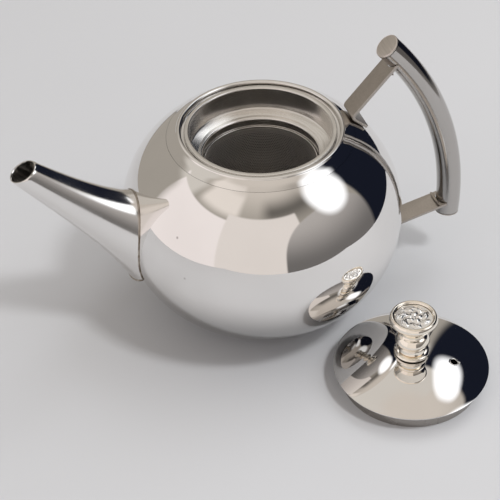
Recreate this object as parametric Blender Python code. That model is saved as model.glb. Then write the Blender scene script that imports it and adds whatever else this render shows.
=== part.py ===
"""Stainless steel teapot with a lift-out strainer basket and a separate lid.

The origin is the centre of the pot's flat base, on the table. +Z is up, the handle
is towards +X and the spout towards -X. Everything is in metres.
"""
import math

import bmesh
import bpy
from mathutils import Matrix, Vector

MM = 0.001

# ---- driving dimensions -------------------------------------------------------------
GAP = 0.3 * MM                    # what two touching pieces keep between them
BIG_SEGMENTS = 36                 # facets round the pot, the strainer and the lid
SMALL_SEGMENTS = 24               # facets round the knob, the spout and the tube

BODY_RADIUS = 70.0 * MM           # widest, at the belly
BELLY_HEIGHT = 57.0 * MM
BELLY_DROP = 61.2 * MM            # lower half axis of the belly's ellipse
SHOULDER_POWER = 2.08             # squareness of the shoulder's curve
BODY_WALL = 1.0 * MM
CREASE_HEIGHT = 103.8 * MM

MOUTH_CLEARANCE = 1.5 * MM        # rim to the strainer's flange
RIM_WIDTH = 2.4 * MM
COLLAR_SPREAD = 4.7 * MM          # rim to where the collar is welded to the body
RIM_RISE = 4.0 * MM               # crown of the rim above the crease
SEAT_DROP = 2.4 * MM              # strainer seat below the crown of the rim
SEAT_WIDTH = 2.7 * MM
NECK_DEPTH = 2.0 * MM             # short neck below the seat
COLLAR_WALL = 0.9 * MM

CUP_RADIUS = 34.5 * MM            # inside of the strainer's cup
CUP_WALL = 0.7 * MM
CUP_FLANGE_THICKNESS = 1.1 * MM
CUP_FLANGE_WIDTH = 1.8 * MM       # flange outside the cup's wall
CUP_DEPTH = 12.0 * MM             # flange top to the groove above the ledge
LEDGE_WIDTH = 6.3 * MM            # groove to the inside of the band
LEDGE_DROP = 3.4 * MM
BAND_HEIGHT = 7.4 * MM            # plain band that carries the mesh
MESH_THICKNESS = 0.5 * MM
MESH_LAP = 4.3 * MM               # mesh standing inside the band
MESH_HEIGHT = 47.9 * MM
HEM_WIDTH = 3.2 * MM              # ring that joins mesh wall and mesh floor
HEM_HEIGHT = 5.0 * MM
HEM_SHEET = 0.5 * MM

SPOUT_TIP = (-116.5 * MM, 110.5 * MM)      # centre of the pouring lip, as x and z
SPOUT_BEND = (-86.0 * MM, 79.5 * MM)       # control point of the spout's axis
SPOUT_ROOT = (-62.0 * MM, 61.5 * MM)       # end of the axis, inside the body
SPOUT_TIP_RADIUS = 6.8 * MM
SPOUT_TAPER = 8.3 * MM            # steady widening, tip to root
SPOUT_FLARE = 6.5 * MM            # extra widening close to the body
SPOUT_NARROWING = 0.18            # how much narrower than tall the root is
SPOUT_WALL = 0.9 * MM
SPOUT_LIP_ANGLE = math.radians(63.0)       # the lip's plane faces this far above level
SPOUT_HOLE_RADIUS = 11.0 * MM     # hole through the body behind the spout
SPOUT_STATIONS = 12

HANDLE_RADIUS = 6.25 * MM
HANDLE_WALL = 1.0 * MM
HANDLE_ARC_CENTRE = (-44.9 * MM, 40.9 * MM)
HANDLE_ARC_RADIUS = 147.2 * MM
HANDLE_TOP_ANGLE = math.radians(41.9)
HANDLE_BOTTOM_ANGLE = math.radians(-3.8)
HANDLE_STATIONS = 14
CAP_THICKNESS = 1.0 * MM
CAP_PLUG_LENGTH = 4.0 * MM

STRAP_THICKNESS = 1.5 * MM
STRAP_WIDTH = 12.0 * MM
UPPER_FOOT_REACH = 4.4 * MM       # weld of the collar to the middle of the upper foot
UPPER_STRAP_POINT = (64.1 * MM, 127.4 * MM)
UPPER_STRAP_ANGLE = math.radians(48.2)
LOWER_FOOT_HEIGHT = 27.0 * MM
LOWER_STRAP_POINT = (93.1 * MM, 36.8 * MM)
LOWER_STRAP_ANGLE = math.radians(12.4)
FOOT_TIP = 3.0 * MM               # foot past its middle
WELD_RADIUS = 0.8 * MM

LID_CENTRE = (48.9 * MM, -82.2 * MM)       # lid lying on the table beside the pot
LID_CLEARANCE = 0.5 * MM          # lid's edge inside the rim of the mouth
LID_RISE = 8.2 * MM
LID_CROWN_POWER = 0.93            # 0.5 would be an ellipse, 1 a parabola
LID_SHEET = 0.8 * MM
SKIRT_CLEARANCE = 0.6 * MM        # skirt inside the strainer's cup
SKIRT_DEPTH = 8.0 * MM            # skirt below the lid's hem
SKIRT_SHEET = 0.7 * MM
SKIRT_FLANGE = 1.5 * MM
HEM_RISE = 1.5 * MM               # widest circle of the lid above its hem
VENT_RADIUS = 1.9 * MM
VENT_FROM_AXIS = 21.0 * MM
VENT_ANGLE = math.radians(-33.0)

KNOB_FOOT_RADIUS = 8.7 * MM
KNOB_FOOT_HEIGHT = 1.9 * MM
KNOB_WAIST_RADIUS = 6.0 * MM
KNOB_BULB_RADIUS = 8.3 * MM
KNOB_NECK_RADIUS = 5.9 * MM
KNOB_HEAD_RADIUS = 11.7 * MM
KNOB_HEIGHT = 21.3 * MM           # above the foot
MEDALLION_RADIUS = 9.0 * MM
MEDALLION_THICKNESS = 1.0 * MM
MEDALLION_DEPTH = 0.8 * MM        # its face below the knob's rim
SCREW_RADIUS = 1.9 * MM
SCREW_BORE = 2.3 * MM
SCREW_LENGTH = 10.6 * MM
SCREW_HEAD_RADIUS = 3.6 * MM
SCREW_HEAD_HEIGHT = 2.2 * MM
WASHER_RADIUS = 5.0 * MM
WASHER_THICKNESS = 0.8 * MM

STEEL_POLISHED = ("polished_steel", (0.72, 0.69, 0.65), 0.08)
STEEL_SATIN = ("satin_steel", (0.58, 0.55, 0.51), 0.32)
STEEL_BRACKET = ("bracket_steel", (0.42, 0.38, 0.33), 0.38)
STEEL_MESH = ("mesh_steel", (0.36, 0.35, 0.34), 0.42)
NICKEL_CAST = ("cast_nickel", (0.75, 0.70, 0.60), 0.18)
WELD_METAL = ("weld_metal", (0.40, 0.37, 0.33), 0.45)
FASTENER_STEEL = ("fastener_steel", (0.60, 0.60, 0.58), 0.30)

# ---- sizes that follow --------------------------------------------------------------
MOUTH_RADIUS = CUP_RADIUS + CUP_WALL + CUP_FLANGE_WIDTH + MOUTH_CLEARANCE
CREASE_RADIUS = MOUTH_RADIUS + RIM_WIDTH + COLLAR_SPREAD
UPPER_FOOT_RADIUS = CREASE_RADIUS + UPPER_FOOT_REACH
LID_RADIUS = MOUTH_RADIUS - LID_CLEARANCE
SKIRT_RADIUS = CUP_RADIUS - SKIRT_CLEARANCE
SHOULDER_RISE = ((CREASE_HEIGHT - BELLY_HEIGHT)
                 / (1 - (CREASE_RADIUS / BODY_RADIUS) ** SHOULDER_POWER) ** (1 / SHOULDER_POWER))
RIM_CROWN = CREASE_HEIGHT + RIM_RISE
SEAT_HEIGHT = RIM_CROWN - SEAT_DROP
CUP_TOP = SEAT_HEIGHT + GAP + CUP_FLANGE_THICKNESS
GROOVE_HEIGHT = CUP_TOP - CUP_DEPTH
BAND_RADIUS = CUP_RADIUS - LEDGE_WIDTH
BAND_TOP = GROOVE_HEIGHT - LEDGE_DROP
BAND_BOTTOM = BAND_TOP - BAND_HEIGHT
MESH_RADIUS = BAND_RADIUS - GAP
MESH_TOP = BAND_BOTTOM + MESH_LAP
MESH_BOTTOM = MESH_TOP - MESH_HEIGHT
HANDLE_CENTRE = Vector((HANDLE_ARC_CENTRE[0], 0.0, HANDLE_ARC_CENTRE[1]))
LID_HEM = SKIRT_DEPTH
LID_WIDEST = LID_HEM + HEM_RISE
LID_TOP = LID_WIDEST + LID_RISE
KNOB_FOOT_BOTTOM = LID_TOP + GAP
KNOB_BOTTOM = KNOB_FOOT_BOTTOM + KNOB_FOOT_HEIGHT + GAP


# ---- scene and material helpers -----------------------------------------------------
def clear_scene():
    for item in list(bpy.data.objects):
        bpy.data.objects.remove(item, do_unlink=True)


def make_material(node_name, finish):
    finish_name, colour, roughness = finish
    material = bpy.data.materials.new(node_name + "_" + finish_name)
    material.use_nodes = True
    shader = material.node_tree.nodes["Principled BSDF"]
    shader.inputs["Base Color"].default_value = (*colour, 1.0)
    shader.inputs["Metallic"].default_value = 1.0
    shader.inputs["Roughness"].default_value = roughness
    material.diffuse_color = (*colour, 1.0)
    return material


def object_from_bmesh(name, shape, finish=None, location=(0.0, 0.0, 0.0)):
    """Close the bmesh into an object; without a finish it is a hidden cutter."""
    bmesh.ops.recalc_face_normals(shape, faces=shape.faces)
    mesh = bpy.data.meshes.new(name)
    shape.to_mesh(mesh)
    shape.free()
    mesh.shade_smooth()
    mesh.set_sharp_from_angle(angle=math.radians(30))
    item = bpy.data.objects.new(name, mesh)
    bpy.context.collection.objects.link(item)
    item.location = location
    if finish is None:
        item.hide_render = True
        item.display_type = "WIRE"
    else:
        mesh.materials.append(make_material(name, finish))
    return item


def add_boolean(item, cutter, operation="DIFFERENCE"):
    modifier = item.modifiers.new(operation.title() + "_" + cutter.name, "BOOLEAN")
    modifier.operation = operation
    modifier.solver = "EXACT"
    modifier.object = cutter


# ---- shape helpers ------------------------------------------------------------------
def spin_outline(outline, segments):
    """Turn a closed outline of (radius, height) points round the Z axis."""
    shape = bmesh.new()
    corners = [shape.verts.new((radius, 0.0, height)) for radius, height in outline]
    edges = [shape.edges.new((corners[i - 1], corners[i])) for i in range(len(corners))]
    bmesh.ops.spin(shape, geom=corners + edges, cent=(0, 0, 0), axis=(0, 0, 1),
                   angle=2 * math.pi, steps=segments, use_merge=True)
    bmesh.ops.remove_doubles(shape, verts=shape.verts, dist=0.01 * MM)
    on_axis = [edge for edge in shape.edges if not edge.link_faces]
    bmesh.ops.delete(shape, geom=on_axis, context="EDGES")
    return shape


def turned(name, outline, segments, finish=None, location=(0.0, 0.0, 0.0)):
    return object_from_bmesh(name, spin_outline(outline, segments), finish, location)


def offset_outline(points, distance):
    """Move an open outline to its left-hand side by a distance."""
    moved = []
    for i, (x, z) in enumerate(points):
        before = points[max(i - 1, 0)]
        after = points[min(i + 1, len(points) - 1)]
        along = Vector((after[0] - before[0], after[1] - before[1])).normalized()
        moved.append((x - along.y * distance, z + along.x * distance))
    return moved


def loft_rings(rings, closed_ends=True):
    """Skin a list of equal rings of points."""
    shape = bmesh.new()
    loops = [[shape.verts.new(point) for point in ring] for ring in rings]
    for lower, upper in zip(loops, loops[1:]):
        for i in range(len(lower)):
            shape.faces.new((lower[i - 1], lower[i], upper[i], upper[i - 1]))
    if closed_ends:
        shape.faces.new(loops[0])
        shape.faces.new(loops[-1])
    return shape


def extruded_profile(outline, width):
    """Extrude an (x, z) outline evenly to both sides of the pot's middle plane."""
    shape = bmesh.new()
    corners = [shape.verts.new((x, -width / 2, z)) for x, z in outline]
    face = shape.faces.new(corners)
    grown = bmesh.ops.extrude_face_region(shape, geom=[face])
    moved = [item for item in grown["geom"] if isinstance(item, bmesh.types.BMVert)]
    bmesh.ops.translate(shape, verts=moved, vec=(0, width, 0))
    return shape


# ---- pot body -----------------------------------------------------------------------
def lower_outline(count=8):
    """Belly's lower half, from the edge of the flat base up to the widest circle."""
    start = math.asin(-BELLY_HEIGHT / BELLY_DROP)
    return [(BODY_RADIUS * math.cos(start * (1 - i / count)),
             BELLY_HEIGHT + BELLY_DROP * math.sin(start * (1 - i / count)))
            for i in range(count + 1)]


def shoulder_height(radius):
    share = 1 - (radius / BODY_RADIUS) ** SHOULDER_POWER
    return BELLY_HEIGHT + SHOULDER_RISE * share ** (1 / SHOULDER_POWER)


def body_outline(count=8):
    """Outside of the body, from the flat base's edge to the crease."""
    points = lower_outline()
    last_radius = CREASE_RADIUS + 1.2 * GAP
    turn = math.acos(last_radius / BODY_RADIUS)
    for i in range(1, count + 1):
        radius = BODY_RADIUS * math.cos(turn * i / count)
        points.append((radius, shoulder_height(radius)))
    return points


def solid_body_outline(grow):
    """Filled body, grown outwards, for cutting what seats on it."""
    grown = offset_outline(body_outline(), -grow)
    top = CREASE_HEIGHT
    return [(0.0, -grow)] + grown + [(CREASE_RADIUS - grow, top), (0.0, top)]


def make_body_shell():
    outside = body_outline()
    inside = offset_outline(outside, BODY_WALL)
    floor_edge = (inside[0][0], BODY_WALL)
    inside = [floor_edge] + [point for point in inside if point[1] > 1.5 * BODY_WALL]
    outline = [(0.0, 0.0)] + outside + inside[::-1] + [(0.0, BODY_WALL)]
    return turned("body_shell", outline, BIG_SEGMENTS, STEEL_POLISHED)


def make_collar():
    rim_outer = MOUTH_RADIUS + RIM_WIDTH
    wall = COLLAR_WALL
    bead = RIM_WIDTH / 2
    bead_centre = RIM_CROWN - 0.6 * bead
    slope = Vector((CREASE_RADIUS - rim_outer, CREASE_HEIGHT - bead_centre)).normalized()
    outside = [(CREASE_RADIUS, CREASE_HEIGHT),
               (0.5 * (CREASE_RADIUS + rim_outer), 0.5 * (CREASE_HEIGHT + bead_centre) + GAP / 2),
               (rim_outer, bead_centre)]
    for i in range(1, 5):
        angle = math.pi * i / 5
        outside.append((MOUTH_RADIUS + bead + bead * math.cos(angle),
                        bead_centre + 0.6 * bead * math.sin(angle)))
    outside += [(MOUTH_RADIUS, bead_centre),
                (MOUTH_RADIUS, SEAT_HEIGHT),
                (MOUTH_RADIUS - SEAT_WIDTH, SEAT_HEIGHT),
                (MOUTH_RADIUS - SEAT_WIDTH, SEAT_HEIGHT - NECK_DEPTH)]
    inside = [(MOUTH_RADIUS - SEAT_WIDTH + wall, SEAT_HEIGHT - NECK_DEPTH),
              (MOUTH_RADIUS - SEAT_WIDTH + wall, SEAT_HEIGHT - wall),
              (MOUTH_RADIUS + wall, SEAT_HEIGHT - wall),
              (MOUTH_RADIUS + wall, bead_centre - wall / 2),
              (rim_outer - wall / 2, bead_centre - wall),
              (CREASE_RADIUS + slope.y * wall, CREASE_HEIGHT - slope.x * wall)]
    return turned("mouth_collar", outside + inside, BIG_SEGMENTS, STEEL_POLISHED)


# ---- spout --------------------------------------------------------------------------
def spout_point(share):
    """Centre and direction of the spout's axis, 0 at the tip and 1 at the root."""
    tip, bend, root = (Vector((p[0], 0, p[1])) for p in (SPOUT_TIP, SPOUT_BEND, SPOUT_ROOT))
    centre = tip * (1 - share) ** 2 + bend * 2 * share * (1 - share) + root * share ** 2
    direction = ((bend - tip) * (1 - share) + (root - bend) * share).normalized()
    return centre, direction


def spout_radius(share):
    return SPOUT_TIP_RADIUS + SPOUT_TAPER * share + SPOUT_FLARE * max(share, 0.0) ** 3


def spout_ring(share, grow):
    centre, direction = spout_point(share)
    across = Vector((0, 1, 0))
    up = direction.cross(across)
    height = spout_radius(share) + grow
    width = spout_radius(share) * (1 - SPOUT_NARROWING * share ** 2) + grow
    return [centre + width * math.cos(a) * across + height * math.sin(a) * up
            for a in (2 * math.pi * i / SMALL_SEGMENTS for i in range(SMALL_SEGMENTS))]


def spout_rings(grow, first=-0.08, last=1.0):
    steps = SPOUT_STATIONS - 1
    return [spout_ring(first + (last - first) * i / steps, grow) for i in range(SPOUT_STATIONS)]


def make_spout(body_gap_cutter):
    outer = spout_rings(0.0)
    inner = spout_rings(-SPOUT_WALL)
    rings = outer + inner[::-1]
    shape = loft_rings(rings + [rings[0]], closed_ends=False)
    bmesh.ops.remove_doubles(shape, verts=shape.verts, dist=0.01 * MM)
    spout = object_from_bmesh("spout", shape, STEEL_POLISHED)
    centre = spout_point(0.0)[0]
    lip_normal = Vector((-math.cos(SPOUT_LIP_ANGLE), 0, math.sin(SPOUT_LIP_ANGLE)))
    trim = bmesh.new()
    size = 8 * SPOUT_TIP_RADIUS
    turn = Vector((0, 0, 1)).rotation_difference(lip_normal).to_matrix().to_4x4()
    place = Matrix.Translation(centre + lip_normal * size / 2) @ turn
    bmesh.ops.create_cube(trim, size=size, matrix=place)
    lip_cutter = object_from_bmesh("lip_cutter", trim)
    add_boolean(spout, lip_cutter)
    add_boolean(spout, body_gap_cutter)
    return spout


def make_spout_hole_cutter():
    centre, direction = spout_point(0.85)
    shape = bmesh.new()
    turn = Vector((0, 0, 1)).rotation_difference(direction).to_matrix().to_4x4()
    bmesh.ops.create_cone(shape, cap_ends=True, segments=SMALL_SEGMENTS,
                          radius1=SPOUT_HOLE_RADIUS, radius2=SPOUT_HOLE_RADIUS,
                          depth=3 * SPOUT_HOLE_RADIUS,
                          matrix=Matrix.Translation(centre) @ turn)
    return object_from_bmesh("spout_hole_cutter", shape)


def make_spout_weld(body_gap_cutter):
    """Bead that runs round the spout where it meets the belly."""
    shape = loft_rings(spout_rings(GAP + WELD_RADIUS, first=0.3))
    weld = object_from_bmesh("spout_weld", shape, WELD_METAL)
    near_body = turned("weld_reach", solid_body_outline(GAP + 1.6 * WELD_RADIUS), BIG_SEGMENTS)
    spout_gap = object_from_bmesh("spout_gap_cutter", loft_rings(spout_rings(GAP, first=0.1)))
    add_boolean(weld, near_body, "INTERSECT")
    add_boolean(weld, body_gap_cutter)
    add_boolean(weld, spout_gap)
    return weld


# ---- handle -------------------------------------------------------------------------
def handle_point(angle, distance=HANDLE_ARC_RADIUS):
    return HANDLE_CENTRE + distance * Vector((math.cos(angle), 0, math.sin(angle)))


def handle_ring(angle, radius):
    centre = handle_point(angle)
    outward = Vector((math.cos(angle), 0, math.sin(angle)))
    across = Vector((0, 1, 0))
    return [centre + radius * (math.cos(a) * outward + math.sin(a) * across)
            for a in (2 * math.pi * i / SMALL_SEGMENTS for i in range(SMALL_SEGMENTS))]


def handle_rings(radius, past_ends=0.0):
    low = HANDLE_BOTTOM_ANGLE - past_ends
    high = HANDLE_TOP_ANGLE + past_ends
    steps = HANDLE_STATIONS - 1
    return [handle_ring(low + (high - low) * i / steps, radius) for i in range(HANDLE_STATIONS)]


def make_handle_tube():
    outer = handle_rings(HANDLE_RADIUS)
    inner = handle_rings(HANDLE_RADIUS - HANDLE_WALL)
    rings = outer + inner[::-1]
    shape = loft_rings(rings + [rings[0]], closed_ends=False)
    bmesh.ops.remove_doubles(shape, verts=shape.verts, dist=0.01 * MM)
    return object_from_bmesh("handle_tube", shape, STEEL_SATIN)


def make_handle_cap(name, angle, side):
    """End cap with a plug inside the tube; side is +1 at the top and -1 below."""
    plug_radius = HANDLE_RADIUS - HANDLE_WALL - GAP
    edge = 0.35 * CAP_THICKNESS
    outline = [(0.0, -CAP_PLUG_LENGTH), (plug_radius, -CAP_PLUG_LENGTH), (plug_radius, GAP),
               (HANDLE_RADIUS, GAP), (HANDLE_RADIUS, GAP + CAP_THICKNESS - edge),
               (HANDLE_RADIUS - edge, GAP + CAP_THICKNESS), (0.0, GAP + CAP_THICKNESS)]
    cap = turned(name, outline, SMALL_SEGMENTS, STEEL_SATIN)
    tangent = side * Vector((-math.sin(angle), 0, math.cos(angle)))
    cap.rotation_mode = "QUATERNION"
    cap.rotation_quaternion = Vector((0, 0, 1)).rotation_difference(tangent)
    cap.location = handle_point(angle)
    return cap


def unit(angle):
    return Vector((math.cos(angle), math.sin(angle)))


def crossing(point_a, along_a, point_b, along_b):
    """Where two lines in the middle plane cross."""
    across = along_a.x * along_b.y - along_a.y * along_b.x
    between = point_b - point_a
    return point_a + along_a * ((between.x * along_b.y - between.y * along_b.x) / across)


def strap_outline(points):
    """Outline of a bent strap from the middle line of its thickness."""
    first, bend, last = points
    half = STRAP_THICKNESS / 2
    foot = (bend - first).normalized()
    arm = (last - bend).normalized()
    foot_side = Vector((-foot.y, foot.x)) * half
    arm_side = Vector((-arm.y, arm.x)) * half
    left = crossing(first + foot_side, foot, last + arm_side, arm)
    right = crossing(first - foot_side, foot, last - arm_side, arm)
    corners = [first + foot_side, left, last + arm_side, last - arm_side, right, first - foot_side]
    return [(corner.x, corner.y) for corner in corners]


def make_strap(name, foot_middle, foot_along, strap_point, strap_angle, cutters):
    """Strap from a foot on the body to the handle tube, then cut clear of both."""
    arm = unit(strap_angle)
    bend = crossing(foot_middle, foot_along, strap_point, arm)
    foot_end = foot_middle - foot_along * FOOT_TIP
    arm_end = strap_point + arm * HANDLE_RADIUS
    strap = object_from_bmesh(name, extruded_profile(strap_outline([foot_end, bend, arm_end]),
                                                     STRAP_WIDTH), STEEL_BRACKET)
    for cutter in cutters:
        add_boolean(strap, cutter)
    return strap


def upper_foot():
    """Middle of the upper foot's thickness, and its direction up the shoulder."""
    step = 0.5 * MM
    low = Vector((UPPER_FOOT_RADIUS + step, shoulder_height(UPPER_FOOT_RADIUS + step)))
    high = Vector((UPPER_FOOT_RADIUS - step, shoulder_height(UPPER_FOOT_RADIUS - step)))
    along = (high - low).normalized()
    outward = Vector((along.y, -along.x))
    return 0.5 * (low + high) + outward * (GAP + STRAP_THICKNESS / 2), along


def lower_foot():
    """Middle of the lower foot's thickness, and its direction up the belly."""
    drop = (LOWER_FOOT_HEIGHT - BELLY_HEIGHT) / BELLY_DROP
    radius = BODY_RADIUS * math.sqrt(1 - drop ** 2)
    outward = Vector((radius / BODY_RADIUS ** 2, drop / BELLY_DROP)).normalized()
    along = Vector((-outward.y, outward.x))
    middle = Vector((radius, LOWER_FOOT_HEIGHT)) + outward * (GAP + STRAP_THICKNESS / 2)
    return middle, along


def make_handle_weld(name, strap_point, strap_angle, side):
    """Bead in the corner between the strap's face and the tube."""
    arm = unit(strap_angle)
    face = side * Vector((-arm.y, arm.x)) * (STRAP_THICKNESS / 2 + GAP + WELD_RADIUS)
    start = Vector(strap_point) + face - Vector(HANDLE_ARC_CENTRE)
    reach = HANDLE_ARC_RADIUS - HANDLE_RADIUS - GAP - 1.15 * WELD_RADIUS
    half = start.dot(arm)
    travel = -half + math.sqrt(half ** 2 - start.length_squared + reach ** 2)
    place = Vector(strap_point) + face + arm * travel
    length = STRAP_WIDTH - 2 * WELD_RADIUS
    outline = [(0.0, -length / 2 - WELD_RADIUS * 0.5), (0.7 * WELD_RADIUS, -length / 2),
               (WELD_RADIUS, -length / 2 + WELD_RADIUS), (WELD_RADIUS, length / 2 - WELD_RADIUS),
               (0.7 * WELD_RADIUS, length / 2), (0.0, length / 2 + WELD_RADIUS * 0.5)]
    weld = turned(name, outline, 8, WELD_METAL, location=(place.x, 0.0, place.y))
    weld.rotation_euler = (math.radians(90), 0, 0)
    return weld


# ---- strainer -----------------------------------------------------------------------
def make_strainer_cup():
    flange_outer = CUP_RADIUS + CUP_WALL + CUP_FLANGE_WIDTH
    flange_bottom = CUP_TOP - CUP_FLANGE_THICKNESS
    lip = 0.3 * CUP_FLANGE_THICKNESS
    wall = CUP_WALL
    ledge_round = 0.35 * LEDGE_DROP
    inside = [(flange_outer, CUP_TOP - 2 * lip), (flange_outer - lip, CUP_TOP - lip / 2),
              (CUP_RADIUS + 3 * lip, CUP_TOP), (CUP_RADIUS + lip, CUP_TOP - lip / 2),
              (CUP_RADIUS, CUP_TOP - 2 * lip),
              (CUP_RADIUS, GROOVE_HEIGHT), (CUP_RADIUS - 0.4 * wall, GROOVE_HEIGHT - 0.5 * wall),
              (BAND_RADIUS + 1.6 * ledge_round, BAND_TOP + 1.5 * ledge_round),
              (BAND_RADIUS + 0.5 * ledge_round, BAND_TOP + ledge_round),
              (BAND_RADIUS, BAND_TOP), (BAND_RADIUS, BAND_BOTTOM)]
    outside = [(BAND_RADIUS + wall, BAND_BOTTOM), (BAND_RADIUS + wall, BAND_TOP - 0.3 * wall),
               (BAND_RADIUS + wall + ledge_round, BAND_TOP + 0.4 * ledge_round),
               (CUP_RADIUS + 0.2 * wall, GROOVE_HEIGHT - 1.3 * wall),
               (CUP_RADIUS + wall, GROOVE_HEIGHT - 0.5 * wall),
               (CUP_RADIUS + wall, flange_bottom), (flange_outer, flange_bottom)]
    return turned("strainer_cup", inside + outside, BIG_SEGMENTS, STEEL_SATIN)


def make_mesh_wall():
    inner = MESH_RADIUS - MESH_THICKNESS
    outline = [(inner, MESH_BOTTOM), (MESH_RADIUS, MESH_BOTTOM),
               (MESH_RADIUS, MESH_TOP), (inner, MESH_TOP)]
    return turned("mesh_wall", outline, BIG_SEGMENTS, STEEL_MESH)


def make_mesh_floor():
    top = MESH_BOTTOM - GAP
    edge = MESH_RADIUS - GAP
    outline = [(0.0, top - MESH_THICKNESS), (edge, top - MESH_THICKNESS), (edge, top), (0.0, top)]
    return turned("mesh_floor", outline, BIG_SEGMENTS, STEEL_MESH)


def make_mesh_hem():
    """Turned-up ring round the bottom of the basket."""
    inside = MESH_RADIUS + GAP
    outside = inside + HEM_SHEET
    tray_top = MESH_BOTTOM - GAP - MESH_THICKNESS - GAP
    bottom = tray_top - HEM_SHEET
    outline = [(outside - HEM_WIDTH, bottom), (outside - HEM_SHEET, bottom),
               (outside, bottom + HEM_SHEET), (outside, bottom + HEM_HEIGHT),
               (inside, bottom + HEM_HEIGHT), (inside, tray_top), (outside - HEM_WIDTH, tray_top)]
    return turned("mesh_hem", outline, BIG_SEGMENTS, STEEL_SATIN)


# ---- lid ----------------------------------------------------------------------------
def dome_points(radius, rise, first, count=7):
    """Curve from near the axis out to the lid's widest circle."""
    start = math.acos(first / radius)
    circles = [radius * math.cos(start * (1 - i / count)) for i in range(count + 1)]
    return [(circle, LID_WIDEST + rise * max(1 - (circle / radius) ** 2, 0.0) ** LID_CROWN_POWER)
            for circle in circles]


def make_lid_dome():
    sheet = LID_SHEET
    outside = dome_points(LID_RADIUS, LID_RISE, SCREW_BORE)
    inside = dome_points(LID_RADIUS - sheet, LID_RISE - sheet, SCREW_BORE)
    hem_end = SKIRT_RADIUS + GAP
    hem = [(LID_RADIUS - 0.2 * HEM_RISE, LID_WIDEST - 0.55 * HEM_RISE),
           (LID_RADIUS - 0.8 * HEM_RISE, LID_HEM + 0.1 * HEM_RISE),
           (LID_RADIUS - 1.6 * HEM_RISE, LID_HEM), (hem_end, LID_HEM),
           (hem_end, LID_HEM + sheet), (LID_RADIUS - 1.5 * HEM_RISE, LID_HEM + sheet)]
    dome = turned("lid_dome", outside + hem + inside[::-1], BIG_SEGMENTS, STEEL_POLISHED,
                  location=(*LID_CENTRE, 0.0))
    hole = bmesh.new()
    where = Vector((*LID_CENTRE, LID_TOP)) + VENT_FROM_AXIS * Vector(
        (math.cos(VENT_ANGLE), math.sin(VENT_ANGLE), 0))
    bmesh.ops.create_cone(hole, cap_ends=True, segments=16, radius1=VENT_RADIUS,
                          radius2=VENT_RADIUS, depth=LID_TOP, matrix=Matrix.Translation(where))
    add_boolean(dome, object_from_bmesh("vent_cutter", hole))
    return dome


def make_lid_skirt():
    inner = SKIRT_RADIUS - SKIRT_SHEET
    flange_bottom = LID_HEM + LID_SHEET + GAP
    top = flange_bottom + SKIRT_SHEET
    outline = [(inner, 0.0), (SKIRT_RADIUS, 0.0), (SKIRT_RADIUS, flange_bottom),
               (SKIRT_RADIUS + SKIRT_FLANGE, flange_bottom), (SKIRT_RADIUS + SKIRT_FLANGE, top),
               (inner, top)]
    return turned("lid_skirt", outline, BIG_SEGMENTS, STEEL_SATIN, location=(*LID_CENTRE, 0.0))


def make_knob_foot():
    low = KNOB_FOOT_BOTTOM
    edge = 0.3 * KNOB_FOOT_HEIGHT
    outline = [(SCREW_BORE, low), (KNOB_FOOT_RADIUS - edge / 2, low), (KNOB_FOOT_RADIUS, low + edge),
               (KNOB_FOOT_RADIUS - edge / 2, low + 2.4 * edge),
               (KNOB_FOOT_RADIUS - 2 * edge, low + KNOB_FOOT_HEIGHT),
               (SCREW_BORE, low + KNOB_FOOT_HEIGHT)]
    return turned("knob_foot", outline, SMALL_SEGMENTS, NICKEL_CAST, location=(*LID_CENTRE, 0.0))


def make_knob_body():
    """Cove, bulb, neck and flared head in one casting, with a recess on top."""
    def level(share):
        return KNOB_BOTTOM + share * KNOB_HEIGHT

    head = KNOB_HEAD_RADIUS
    recess = MEDALLION_RADIUS + GAP
    recess_floor = level(1.0) - MEDALLION_DEPTH - MEDALLION_THICKNESS - GAP
    bore_top = KNOB_FOOT_BOTTOM - GAP - LID_SHEET - WASHER_THICKNESS + SCREW_LENGTH + GAP
    outline = [(SCREW_BORE, KNOB_BOTTOM), (KNOB_WAIST_RADIUS + 0.6 * MM, KNOB_BOTTOM),
               (KNOB_WAIST_RADIUS, level(0.08)), (KNOB_WAIST_RADIUS, level(0.16)),
               (0.5 * (KNOB_WAIST_RADIUS + KNOB_BULB_RADIUS), level(0.23)),
               (KNOB_BULB_RADIUS, level(0.26)), (KNOB_BULB_RADIUS, level(0.30)),
               (0.93 * KNOB_BULB_RADIUS, level(0.38)),
               (0.5 * (KNOB_NECK_RADIUS + KNOB_BULB_RADIUS), level(0.43)),
               (KNOB_NECK_RADIUS, level(0.49)), (KNOB_NECK_RADIUS + 0.02 * head, level(0.56)),
               (0.62 * head, level(0.66)), (0.79 * head, level(0.755)),
               (0.94 * head, level(0.82)), (head, level(0.885)), (0.99 * head, level(0.94)),
               (0.94 * head, level(0.985)), (0.88 * head, level(1.0)),
               (recess + 0.25 * MM, level(0.985)), (recess, level(0.95)),
               (recess, recess_floor), (0.0, recess_floor), (0.0, bore_top), (SCREW_BORE, bore_top)]
    return turned("knob_body", outline, SMALL_SEGMENTS, NICKEL_CAST, location=(*LID_CENTRE, 0.0))


def make_medallion():
    face = KNOB_BOTTOM + KNOB_HEIGHT - MEDALLION_DEPTH
    back = face - MEDALLION_THICKNESS
    rise = 0.5 * MEDALLION_THICKNESS
    outline = [(0.0, back), (MEDALLION_RADIUS, back), (MEDALLION_RADIUS, face - rise),
               (0.6 * MEDALLION_RADIUS, face), (0.0, face + 0.2 * rise)]
    return turned("knob_medallion", outline, SMALL_SEGMENTS, NICKEL_CAST,
                  location=(*LID_CENTRE, 0.0))


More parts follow.
